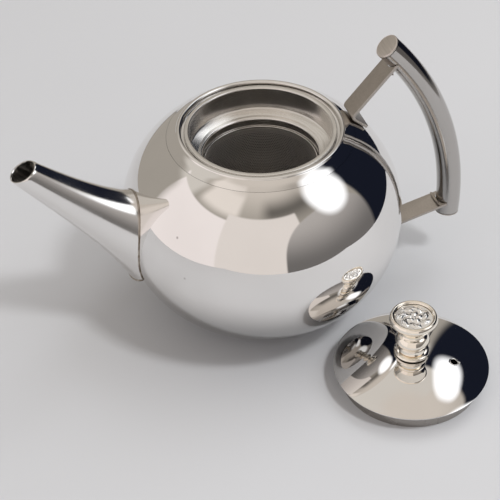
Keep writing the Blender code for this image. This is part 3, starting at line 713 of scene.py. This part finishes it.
def make_strap(name, foot_middle, foot_along, strap_point, strap_angle, material):
    arm = unit(strap_angle)
    point = Vector(strap_point)
    bend = crossing(foot_middle, foot_along, point, arm)
    line = strap_line(foot_middle - foot_along * FOOT_TIP, bend, point + arm * HANDLE_RADIUS)
    half = STRAP_THICKNESS / 2
    width = STRAP_WIDTH / 2
    soft = 0.22 * MM
    section = fillet([(-width, -half, soft), (width, -half, soft),
                      (width, half, soft), (-width, half, soft)], 4)
    rings = []
    for i, spot in enumerate(line):
        before = line[max(i - 1, 0)]
        after = line[min(i + 1, len(line) - 1)]
        along = (after - before).normalized()
        side = Vector((-along.y, along.x))
        rings.append([Vector((spot.x + side.x * b, a, spot.y + side.y * b)) for a, b in section])
    strap = loft(name, rings, material, capped=True)
    subtract(strap, body_cutter(GAP))
    subtract(strap, loft("cutter", handle_rings(HANDLE_RADIUS + GAP, radians(1.0), 60, 64),
                         None, capped=True))
    smooth(strap.data)
    return strap


def make_handle_weld(name, strap_point, strap_angle, side, material, seed):
    """Lumpy bead in the corner between strap and tube."""
    arm = unit(strap_angle)
    face = side * Vector((-arm.y, arm.x)) * (STRAP_THICKNESS / 2 + GAP + WELD_RADIUS)
    start = Vector(strap_point) + face - Vector(HANDLE_ARC_CENTRE)
    reach = HANDLE_ARC_RADIUS - HANDLE_RADIUS - GAP - 1.15 * WELD_RADIUS
    half = start.dot(arm)
    travel = -half + sqrt(half ** 2 - start.length_squared + reach ** 2)
    place = Vector(strap_point) + face + arm * travel
    count = 48
    length = STRAP_WIDTH - WELD_RADIUS
    rings = []
    for i in range(count + 1):
        t = i / count
        y = (t - 0.5) * length
        swell = sqrt(max(1 - (2 * t - 1) ** 4, 0.002))
        ripple = 1 + 0.16 * noise.noise(Vector((seed, y * 900, 0))) - 0.10 * abs(sin(y * 2600))
        size = WELD_RADIUS * 0.98 * swell * ripple
        rings.append([Vector((place.x + size * cos(a), y, place.y + size * sin(a)))
                      for a in turns(16)])
    return loft(name, rings, material, angle=80.0, capped=True)


def build_pot():
    # the body's lower belly gets painted shade
    polished = steel("mirror_steel", roughness=0.03, wave=0.022 * MM, scratch=0.03, speck=0.5, painted_shade_level=0.5)
    collar = steel("mirror_steel_collar", roughness=0.035, wave=0.012 * MM, scratch=0.04)
    spout_metal = steel("mirror_steel_spout", roughness=0.13, wave=0.02 * MM, peel=0.004 * MM,
                        scratch=0.06, speck=0.5)
    tube_metal = steel("tube_steel", tint=(0.50, 0.48, 0.46), roughness=0.10, wave=0.012 * MM,
                       peel=0.002 * MM, scratch=0.08, stain=0.35, speck=0.9)
    cap_metal = steel("cap_steel", tint=(0.69, 0.645, 0.60), roughness=0.30, scratch=0.1,
                      grain=0.01 * MM, grain_scale=(1500.0, 60.0, 1500.0))
    strap_metal = steel("strap_steel", tint=(0.49, 0.45, 0.41), roughness=0.27, scratch=0.1,
                        grain=0.006 * MM, grain_scale=(1200.0, 1200.0, 30.0), stain=0.25)
    seam_metal = weld_metal("seam_metal", 0.3)
    bead_metal = weld_metal("bead_metal", 0.8)
    pieces = (
        (make_body(polished), "body_shell"),
        (make_collar(collar), "mouth_collar"),
        (make_spout(spout_metal), "spout"),
        (make_spout_weld(seam_metal), "spout_weld"),
        (make_handle(tube_metal), "handle_tube"),
        (make_cap("grip_cap_top", HANDLE_TOP_ANGLE, 1, cap_metal), "handle_cap_top"),
        (make_cap("grip_cap_bottom", HANDLE_BOTTOM_ANGLE, -1, cap_metal), "handle_cap_bottom"),
        (make_strap("upper_strap", *upper_foot(), UPPER_STRAP_POINT, UPPER_STRAP_ANGLE,
                    strap_metal), "upper_bracket"),
        (make_strap("lower_strap", *lower_foot(), LOWER_STRAP_POINT, LOWER_STRAP_ANGLE,
                    strap_metal), "lower_bracket"),
        (make_handle_weld("upper_bead", UPPER_STRAP_POINT, UPPER_STRAP_ANGLE, -1, bead_metal, 3.0),
         "upper_weld"),
        (make_handle_weld("lower_bead", LOWER_STRAP_POINT, LOWER_STRAP_ANGLE, 1, bead_metal, 9.0),
         "lower_weld"))
    for piece, node in pieces:
        install(piece, "pot", node)


# ---- strainer ----
def make_cup(material):
    outer = CUP_RADIUS + CUP_WALL + CUP_FLANGE_WIDTH
    under = CUP_TOP - CUP_FLANGE_THICKNESS
    wall = CUP_WALL
    soft = 0.35 * LEDGE_DROP
    corners = [(outer, CUP_TOP, 0.45 * MM), (CUP_RADIUS, CUP_TOP, 0.9 * MM),
               (CUP_RADIUS, GROOVE_HEIGHT + 0.35 * MM), (CUP_RADIUS + 0.25 * MM, GROOVE_HEIGHT),
               (CUP_RADIUS - 0.5 * wall, GROOVE_HEIGHT - 0.5 * wall, 0.5 * MM),
               (BAND_RADIUS + 1.9 * soft, BAND_TOP + 1.45 * soft, 1.0 * MM),
               (BAND_RADIUS, BAND_TOP + 1.05 * soft, 1.3 * MM),
               (BAND_RADIUS, BAND_BOTTOM, 0.15 * MM),
               (BAND_RADIUS + wall, BAND_BOTTOM, 0.15 * MM), (BAND_RADIUS + wall, BAND_TOP - 0.3 * wall),
               (BAND_RADIUS + wall + soft, BAND_TOP + 0.4 * soft),
               (CUP_RADIUS + 0.2 * wall, GROOVE_HEIGHT - 1.3 * wall),
               (CUP_RADIUS + wall, GROOVE_HEIGHT - 0.5 * wall),
               (CUP_RADIUS + wall, under), (outer, under, 0.2 * MM)]
    return revolve("strainer_rim_cup", fillet(corners, 7), FINE, material)


def woven_sheet(columns, rows, locate, closed):
    """Sheet of staggered oval holes; locate turns (column, row, depth) into a point."""
    shape = bmesh.new()
    half_slot = 0.36              # of the way to the next hole
    half_gap = 0.31               # of the way to the next row
    made = {}

    def vert(column, row):
        key = (round(column % columns if closed else column, 3), round(row, 3))
        if key not in made:
            made[key] = shape.verts.new(locate(key[0] % columns if closed else key[0], key[1]))
        return made[key]

    def oval(c, r, half_width, half_height, end_height):
        return [vert(c - half_width, r - end_height), vert(c, r - half_height),
                vert(c + half_width, r - end_height), vert(c + half_width, r + end_height),
                vert(c, r + half_height), vert(c - half_width, r + end_height)]

    for row in range(rows):
        shift = 0.5 * (row % 2)
        for column in range(columns if closed else columns - 1):
            c = column + 0.5 + shift
            r = row + 0.5
            border = oval(c, r, 0.5, 0.5, 0.5)
            hole = oval(c, r, half_slot, half_gap, 0.6 * half_gap)
            for k in range(6):
                shape.faces.new((border[k - 1], border[k], hole[k], hole[k - 1]))
    return shape


def make_mesh_wall(material):
    radius = MESH_RADIUS - 0.5 * MESH_THICKNESS
    columns = int(2 * pi * radius / MESH_PITCH)
    band = 0.8 * MM
    top = MESH_TOP - band
    rows = int((top - MESH_BOTTOM) / (MESH_ROW_SHARE * MESH_PITCH))
    step = (top - MESH_BOTTOM) / rows

    def locate(column, row):
        turn = 2 * pi * column / columns
        return (radius * cos(turn), radius * sin(turn), MESH_BOTTOM + row * step)

    wall = finish_mesh("strainer_mesh_wall", woven_sheet(columns, rows, locate, True), material, 60.0)
    thicken(wall, MESH_SHEET)
    return wall


def thicken(piece, thickness):
    modifier = piece.modifiers.new("thickness", "SOLIDIFY")
    modifier.thickness = thickness
    modifier.offset = 0.0
    settle(piece)


def make_mesh_edge(material):
    """Folded top edge of the mesh."""
    outer = MESH_RADIUS
    inner = MESH_RADIUS - MESH_THICKNESS
    outline = fillet([(inner, MESH_TOP - 0.9 * MM, 0.1 * MM), (outer, MESH_TOP - 0.9 * MM, 0.1 * MM),
                      (outer, MESH_TOP, 0.22 * MM), (inner, MESH_TOP, 0.22 * MM)], 5)
    return revolve("strainer_mesh_edge", outline, FINE, material)


def make_mesh_floor(material):
    edge = MESH_RADIUS - GAP - 0.2 * MM
    level = MESH_BOTTOM - GAP - 0.5 * MESH_THICKNESS
    count = int(2 * edge / MESH_PITCH)
    step = 2 * edge / count

    def locate(column, row):
        x = column * step - edge
        y = row * step - edge
        return (x, y, level)

    shape = woven_sheet(count + 1, count, locate, False)
    outside = [face for face in shape.faces
               if hypot(*face.calc_center_median().xy) > edge - 0.6 * MESH_PITCH]
    bmesh.ops.delete(shape, geom=outside, context="FACES")
    floor = finish_mesh("strainer_mesh_floor", shape, material, 60.0)
    thicken(floor, MESH_SHEET)
    return floor


def make_hem(material):
    inside = MESH_RADIUS + GAP
    outside = inside + HEM_SHEET
    tray = MESH_BOTTOM - 2 * GAP - MESH_THICKNESS
    bottom = tray - HEM_SHEET
    outline = fillet([(outside - HEM_WIDTH, bottom, 0.15 * MM), (outside, bottom, 0.8 * MM),
                      (outside, bottom + HEM_HEIGHT, 0.15 * MM),
                      (inside, bottom + HEM_HEIGHT, 0.15 * MM), (inside, tray, 0.3 * MM),
                      (outside - HEM_WIDTH, tray, 0.15 * MM)])
    return revolve("strainer_hem", outline, FINE, material)


def build_strainer():
    cup_metal = steel("cup_steel", tint=(0.84, 0.82, 0.79), roughness=0.13, wave=0.008 * MM,
                      scratch=0.1, grain=0.0015 * MM, grain_scale=(30.0, 30.0, 2500.0))
    mesh_metal = steel("mesh_steel", tint=(0.54, 0.52, 0.50), roughness=0.28, scratch=0.1)
    install(make_cup(cup_metal), "strainer", "strainer_cup")
    install(make_mesh_wall(mesh_metal), "strainer", "mesh_wall")
    install(make_mesh_edge(cup_metal), "strainer")
    install(make_mesh_floor(mesh_metal), "strainer", "mesh_floor")
    install(make_hem(cup_metal), "strainer", "mesh_hem")


# ---- lid ----
def dome_height(radius, rim, rise):
    return LID_WIDEST + rise * max(1 - (radius / rim) ** 2, 0.0) ** LID_CROWN_POWER


def dome(rim, rise, first, count=44):
    start = acos(first / rim)
    radii = [rim * cos(start * (1 - i / count)) for i in range(count + 1)]
    return [(radius, dome_height(radius, rim, rise)) for radius in radii]


def make_lid_dome(centre, material):
    sheet = LID_SHEET
    hem_end = SKIRT_RADIUS + GAP
    outside = dome(LID_RADIUS, LID_RISE, SCREW_BORE)
    inside = dome(LID_RADIUS - sheet, LID_RISE - sheet, SCREW_BORE)
    hem = curve_through([(LID_RADIUS, LID_WIDEST),
                         (LID_RADIUS - 0.2 * HEM_RISE, LID_WIDEST - 0.55 * HEM_RISE),
                         (LID_RADIUS - 0.8 * HEM_RISE, LID_HEM + 0.1 * HEM_RISE),
                         (LID_RADIUS - 1.6 * HEM_RISE, LID_HEM)], 5)[1:]
    rest = [(hem_end, LID_HEM), (hem_end, LID_HEM + sheet), (LID_RADIUS - 1.5 * HEM_RISE, LID_HEM + sheet)]
    lid = revolve("lid_top", outside + hem + rest + inside[::-1], FINE, material, centre)
    where = Vector((*centre, LID_TOP)) + VENT_FROM_AXIS * Vector(
        (cos(VENT_ANGLE), sin(VENT_ANGLE), 0))
    drill(lid, VENT_RADIUS, LID_TOP, Matrix.Translation(where), 48)
    return lid


def make_vent_edge(centre, material):
    """Small turned-in edge of the vent hole."""
    x = centre[0] + VENT_FROM_AXIS * cos(VENT_ANGLE)
    y = centre[1] + VENT_FROM_AXIS * sin(VENT_ANGLE)
    height = dome_height(VENT_FROM_AXIS, LID_RADIUS, LID_RISE)
    step = 0.5 * MM
    lean = atan((height - dome_height(VENT_FROM_AXIS + step, LID_RADIUS, LID_RISE)) / step)
    thick = 0.15 * MM
    outline = [(VENT_RADIUS + thick * cos(a), thick * sin(a) - 0.1 * MM)
               for a in turns(14)]
    edge = revolve("lid_vent_edge", outline, 48, material, angle=80.0)
    turn = Matrix.Rotation(VENT_ANGLE, 4, "Z") @ Matrix.Rotation(lean, 4, "Y")
    edge.data.transform(Matrix.Translation((x, y, height)) @ turn)
    return edge


def make_skirt(centre, material):
    inner = SKIRT_RADIUS - SKIRT_SHEET
    under = LID_HEM + LID_SHEET + GAP
    top = under + SKIRT_SHEET
    outline = fillet([(inner, 0.0, 0.3 * MM), (SKIRT_RADIUS, 0.0, 0.3 * MM), (SKIRT_RADIUS, under),
                      (SKIRT_RADIUS + SKIRT_FLANGE, under), (SKIRT_RADIUS + SKIRT_FLANGE, top),
                      (inner, top, 0.5 * MM)])
    return revolve("lid_inner_skirt", outline, FINE, material, centre)


def make_knob_foot(centre, material):
    low = KNOB_FOOT_BOTTOM
    high = low + KNOB_FOOT_HEIGHT
    outline = [(SCREW_BORE, low)] + curve_through(
        [(KNOB_FOOT_RADIUS - 0.5 * MM, low), (KNOB_FOOT_RADIUS, low + 0.35 * KNOB_FOOT_HEIGHT),
         (KNOB_FOOT_RADIUS - 0.4 * MM, low + 0.75 * KNOB_FOOT_HEIGHT),
         (KNOB_FOOT_RADIUS - 1.3 * MM, high)], 6) + [(SCREW_BORE, high)]
    return revolve("knob_base_ring", outline, MEDIUM, material, centre)


def make_knob(centre, material):
    def level(share):
        return KNOB_BOTTOM + share * KNOB_HEIGHT

    head = KNOB_HEAD_RADIUS
    recess = MEDALLION_RADIUS + GAP
    recess_floor = level(1.0) - MEDALLION_DEPTH - MEDALLION_THICKNESS - GAP
    bore_top = KNOB_FOOT_BOTTOM - GAP - LID_SHEET - WASHER_THICKNESS + SCREW_LENGTH + GAP
    cove = curve_through([(KNOB_WAIST_RADIUS + 0.6 * MM, KNOB_BOTTOM), (KNOB_WAIST_RADIUS, level(0.08)),
                          (KNOB_WAIST_RADIUS + 0.1 * MM, level(0.16)),
                          (KNOB_WAIST_RADIUS + 0.9 * MM, level(0.215))], 6)
    bulb = curve_through([(KNOB_BULB_RADIUS - 0.4 * MM, level(0.225)), (KNOB_BULB_RADIUS, level(0.26)),
                          (KNOB_BULB_RADIUS, level(0.31)), (0.93 * KNOB_BULB_RADIUS, level(0.38)),
                          (0.5 * (KNOB_NECK_RADIUS + KNOB_BULB_RADIUS), level(0.43)),
                          (KNOB_NECK_RADIUS, level(0.49)), (KNOB_NECK_RADIUS + 0.02 * head, level(0.56)),
                          (0.62 * head, level(0.66)), (0.79 * head, level(0.755)),
                          (0.94 * head, level(0.82)), (head, level(0.885)),
                          (0.985 * head, level(0.94)), (0.94 * head, level(0.985)),
                          (0.88 * head, level(1.0)), (recess + 0.2 * MM, level(0.985)),
                          (recess, level(0.955))], 6)
    rest = [(recess, recess_floor), (0.0, recess_floor), (0.0, bore_top), (SCREW_BORE, bore_top),
            (SCREW_BORE, KNOB_BOTTOM)]
    return revolve("knob_casting", cove + bulb + rest, MEDIUM, material, centre)


def soft_hill(distance, width):
    """1 at the middle, falling smoothly to 0 at a width."""
    share = min(abs(distance) / width, 1.0)
    return (1 - share * share) ** 2


def floral_height(x, y):
    """Relief of a plain rosette with leaves and scrolls, from 0 to 1."""
    radius = hypot(x, y)
    turn = atan2(y, x)
    petal = abs(cos(2.5 * turn + 1.1 * radius))
    flower = soft_hill(radius - 0.25, 0.10 + 0.16 * petal) * (0.35 + 0.65 * petal)
    button = soft_hill(radius, 0.12)
    leaf_turn = turn - 1.3 * (radius - 0.6)
    leaf = abs(cos(3.5 * leaf_turn + 0.6))
    leaves = soft_hill(radius - 0.66, 0.06 + 0.22 * leaf ** 1.4) * leaf
    vein = 0.3 * soft_hill(leaf - 1.0, 0.06)
    scroll_turn = turn + 2.2 * (radius - 0.7)
    scroll = soft_hill(sin(3.5 * scroll_turn + 2.2), 0.35) * soft_hill(radius - 0.68, 0.24)
    return min(1.0, max(flower, button, leaves - vein * leaves, 0.7 * scroll))


def make_medallion(centre, material):
    face = KNOB_BOTTOM + KNOB_HEIGHT - MEDALLION_DEPTH
    back = face - MEDALLION_THICKNESS
    rise = 0.55 * MM
    rings = 90
    count = 220
    shape = bmesh.new()
    loops = []
    for i in range(rings + 1):
        share = max(i / rings, 0.004)
        loop = []
        for turn in turns(count):
            x = share * cos(turn)
            y = share * sin(turn)
            height = face - rise + rise * floral_height(x, y)
            loop.append(shape.verts.new((centre[0] + MEDALLION_RADIUS * x,
                                         centre[1] + MEDALLION_RADIUS * y, height)))
        loops.append(loop)
    loops.append([shape.verts.new((vert.co.x, vert.co.y, back)) for vert in loops[-1]])
    for lower, upper in zip(loops, loops[1:]):
        for k in range(count):
            shape.faces.new((lower[k - 1], lower[k], upper[k], upper[k - 1]))
    shape.faces.new(loops[0])
    shape.faces.new(loops[-1])
    return finish_mesh("knob_rosette", shape, material, 60.0)


def make_fasteners(centre, material):
    washer_top = LID_TOP - LID_SHEET - GAP
    washer_bottom = washer_top - WASHER_THICKNESS
    head_top = washer_bottom - GAP
    washer = revolve("knob_fixing_washer", fillet(
        [(SCREW_BORE, washer_bottom, 0.1 * MM), (WASHER_RADIUS, washer_bottom, 0.15 * MM),
         (WASHER_RADIUS, washer_top, 0.15 * MM), (SCREW_BORE, washer_top, 0.1 * MM)]),
        MEDIUM, material, centre)
    low = head_top - SCREW_HEAD_HEIGHT
    outline = fillet([(0.0, low), (0.75 * SCREW_HEAD_RADIUS, low, 0.8 * MM),
                      (SCREW_HEAD_RADIUS, head_top - 0.5 * SCREW_HEAD_HEIGHT, 0.6 * MM),
                      (SCREW_HEAD_RADIUS, head_top, 0.1 * MM), (SCREW_RADIUS, head_top),
                      (SCREW_RADIUS, head_top + SCREW_LENGTH, 0.3 * MM),
                      (0.0, head_top + SCREW_LENGTH)])
    screw = revolve("knob_fixing_screw", outline, MEDIUM, material, centre)
    for turn in (0.3, 0.3 + pi / 2):
        slot = bmesh.new()
        place = (Matrix.Translation((*centre, low)) @ Matrix.Rotation(turn, 4, "Z")
                 @ Matrix.Diagonal((3.6 * MM, 0.8 * MM, 2.2 * MM, 1.0)))
        bmesh.ops.create_cube(slot, size=1.0, matrix=place)
        subtract(screw, finish_mesh("cutter", slot, None))
    return screw, washer


def build_lid():
    low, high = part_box("lid_dome")
    centre = (0.5 * (low.x + high.x), 0.5 * (low.y + high.y))
    polished = steel("mirror_steel_lid", roughness=0.03, wave=0.03 * MM, scratch=0.03, speck=0.6)
    satin = steel("skirt_steel", tint=(0.42, 0.395, 0.37), roughness=0.2, scratch=0.1)
    cast = steel("cast_nickel", tint=(0.97, 0.91, 0.81), roughness=0.07, wave=0.008 * MM,
                 peel=0.0015 * MM, scratch=0.05)
    relief = steel("relief_metal", tint=(0.97, 0.96, 0.94), roughness=0.2, scratch=0.08)
    plain = steel("fixing_steel", tint=(0.66, 0.66, 0.65), roughness=0.25, scratch=0.1)
    install(make_lid_dome(centre, polished), "lid", "lid_dome")
    install(make_vent_edge(centre, polished), "lid")
    install(make_skirt(centre, satin), "lid", "lid_skirt")
    install(make_knob_foot(centre, cast), "lid", "knob_foot")
    install(make_knob(centre, cast), "lid", "knob_body")
    install(make_medallion(centre, relief), "lid", "knob_medallion")
    screw, washer = make_fasteners(centre, plain)
    install(screw, "lid", "knob_screw")
    install(washer, "lid", "knob_washer")


# ---- stage ----
def make_table():
    shape = bmesh.new()
    size = TABLE_HALF_SIZE
    corners = [shape.verts.new((x * size, y * size, 0.0)) for x, y in
               ((-1, -1), (1, -1), (1, 1), (-1, 1))]
    shape.faces.new(corners)
    material, n, shader = new_material("table_paper")
    cloud = n.noise(n.place(), 5.0, 2.0)
    n.feed(shader.inputs["Base Color"], n.mix(cloud, (0.595, 0.612, 0.642), (0.625, 0.642, 0.672)))
    n.feed(shader.inputs["Roughness"], 0.6)
    n.feed(shader.inputs["Specular IOR Level"], 0.2)
    table = finish_mesh("table", shape, material)


def toward(azimuth, elevation):
    """Unit vector from degrees round from +X and up from the table."""
    turn = radians(azimuth)
    rise = radians(elevation)
    return Vector((cos(rise) * cos(turn), cos(rise) * sin(turn),
                   sin(rise)))


def area_light(name, azimuth, elevation, width, height, strength):
    """Rectangular light facing the object, in degrees round and up, which no metal mirrors."""
    away = toward(azimuth, elevation)
    data = bpy.data.lights.new(name, "AREA")
    data.shape = "RECTANGLE"
    data.size = width
    data.size_y = height
    data.energy = strength * width * height * pi
    data.color = LAMP_COLOUR
    lamp = add_object(name, data)
    lamp.location = LAMP_AIM + away * LAMP_DISTANCE
    lamp.rotation_euler = away.to_track_quat("Z", "Y").to_euler()
    lamp.visible_glossy = False


class Room:
    """World colour painted by direction: soft-edged patches over a base."""

    def __init__(self):
        world = bpy.data.worlds.new("studio")
        bpy.context.scene.world = world
        world.use_nodes = True
        self.n = Nodes(world.node_tree)
        self.background = world.node_tree.nodes["Background"]
        self.direction = self.n.add("ShaderNodeTexCoord").outputs["Generated"]
        self.height = self.n.math("ARCSINE", self.n.height(self.direction))
        self.colour = self.by_height(35, 75, (0.37, 0.34, 0.30), (0.66, 0.60, 0.54))

    def dot(self, vector):
        node = self.n.add("ShaderNodeVectorMath", operation="DOT_PRODUCT")
        self.n.feed(node.inputs[0], self.direction)
        self.n.feed(node.inputs[1], vector)
        return node.outputs["Value"]

    def by_height(self, low, high, low_colour, high_colour):
        share = self.n.ramp(self.height, radians(low), radians(high))
        return self.n.mix(share, low_colour, high_colour)

    def patch(self, azimuth, half_width, low, high, colour, soft=1.5, round_corner=False):
        n = self.n
        turn = radians(azimuth)
        along = self.dot((cos(turn), sin(turn), 0.0))
        across = self.dot((-sin(turn), cos(turn), 0.0))
        aside = n.math("ABSOLUTE", n.math("ARCTAN2", across, along))
        soft = radians(soft)
        half = radians(half_width)
        if round_corner:
            middle = radians(0.5 * (low + high))
            tall = radians(0.5 * (high - low))
            u = n.math("POWER", n.math("DIVIDE", aside, half), 2.6)
            v = n.math("ABSOLUTE", n.math("SUBTRACT", self.height, middle))
            v = n.math("POWER", n.math("DIVIDE", v, tall), 2.6)
            mask = n.ramp(n.math("ADD", u, v), 1 + 2 * soft / tall, 1 - 2 * soft / tall)
        else:
            side = n.ramp(aside, half + soft, half - soft)
            bottom = n.ramp(self.height, radians(low) - soft, radians(low) + soft)
            top = n.ramp(self.height, radians(high) + soft, radians(high) - soft)
            mask = n.math("MULTIPLY", side, n.math("MULTIPLY", bottom, top))
        self.colour = n.mix(mask, self.colour, colour)

    def glow(self, azimuth, elevation, half_width, half_height, lean, colour, soft=0.35, power=2.6):
        """Round-cornered light around one direction, leaning by an angle."""
        n = self.n
        turn = radians(azimuth)
        lean = radians(lean)
        ahead = toward(azimuth, elevation)
        level = Vector((-sin(turn), cos(turn), 0.0))
        upward = ahead.cross(level)
        side = level * cos(lean) + upward * sin(lean)
        tall = upward * cos(lean) - level * sin(lean)
        depth = n.math("MAXIMUM", self.dot(tuple(ahead)), 0.05)
        u = n.math("ABSOLUTE", n.math("DIVIDE", self.dot(tuple(side)), depth))
        v = n.math("ABSOLUTE", n.math("DIVIDE", self.dot(tuple(tall)), depth))
        u = n.math("POWER", n.math("DIVIDE", u, tan(radians(half_width))), power)
        v = n.math("POWER", n.math("DIVIDE", v, tan(radians(half_height))), power)
        mask = n.ramp(n.math("ADD", u, v), 1 + soft * power, 1 - soft * power)
        self.colour = n.mix(mask, self.colour, colour)

    def close(self):
        self.n.feed(self.background.inputs["Color"], self.colour)
        self.n.feed(self.background.inputs["Strength"], 1.0)


def build_room():
    room = Room()
    room.patch(-158, 24, 44, 66, (0.84, 0.77, 0.71), soft=5)
    room.patch(-77, 28, 44, 58, (0.11, 0.10, 0.09), soft=10)
    room.patch(100, 70, 36, 75, (0.66, 0.62, 0.57), soft=5)
    room.patch(-172, 38, -12, 40, (0.92, 0.85, 0.83), soft=1.0)
    room.patch(-108, 36, -12, 46, (0.80, 0.74, 0.70), soft=1.2)
    room.patch(-50, 40, -40, 39, room.by_height(-5, 36, (0.165, 0.155, 0.15), (0.47, 0.44, 0.42)),
               soft=1.2, round_corner=True)
    room.patch(22, 33, -25, 54, (0.009, 0.011, 0.020), soft=2.0)
    room.patch(108, 44, -15, 34, (0.38, 0.35, 0.31), soft=6)
    room.patch(0, 181, -91, -12, (0.26, 0.25, 0.24), soft=2)
    room.glow(-29, 43, 15, 17, 0, GLOW_COLOUR, power=2.2)
    room.glow(31, 55, 6.8, 15.5, 36, GLOW_COLOUR)
    room.close()


def build_lights():
    area_light("lamp_front", -55, 58, 0.24, 0.24, 62.0)
    area_light("lamp_back", 20, 48, 1.6, 1.3, 1.5)


def build_camera():
    data = bpy.data.cameras.new("camera")
    data.sensor_width = 36.0
    data.lens = CAMERA_LENS
    data.clip_start = 0.01
    camera = add_object("camera", data)
    forward = CAMERA_FORWARD.normalized()
    right = forward.cross(CAMERA_UP).normalized()
    up = right.cross(forward)
    turn = Matrix((right, up, -forward)).transposed().to_4x4()
    camera.matrix_world = Matrix.Translation(CAMERA_POSITION) @ turn
    bpy.context.scene.camera = camera


def set_render():
    scene = bpy.context.scene
    scene.render.engine = "CYCLES"
    scene.render.resolution_x = 1000
    scene.render.resolution_y = 1000
    scene.cycles.samples = 256
    scene.cycles.use_denoising = True
    scene.cycles.max_bounces = 12
    scene.cycles.glossy_bounces = 8
    scene.view_settings.view_transform = "Standard"


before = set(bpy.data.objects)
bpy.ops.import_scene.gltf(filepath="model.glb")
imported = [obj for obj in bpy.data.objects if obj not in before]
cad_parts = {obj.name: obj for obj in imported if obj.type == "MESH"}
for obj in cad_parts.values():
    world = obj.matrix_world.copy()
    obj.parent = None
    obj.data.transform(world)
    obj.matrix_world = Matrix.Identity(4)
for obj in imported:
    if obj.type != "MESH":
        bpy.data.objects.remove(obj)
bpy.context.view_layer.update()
build_camera()
build_pot()
build_strainer()
build_lid()
make_table()
build_room()
build_lights()
set_render()
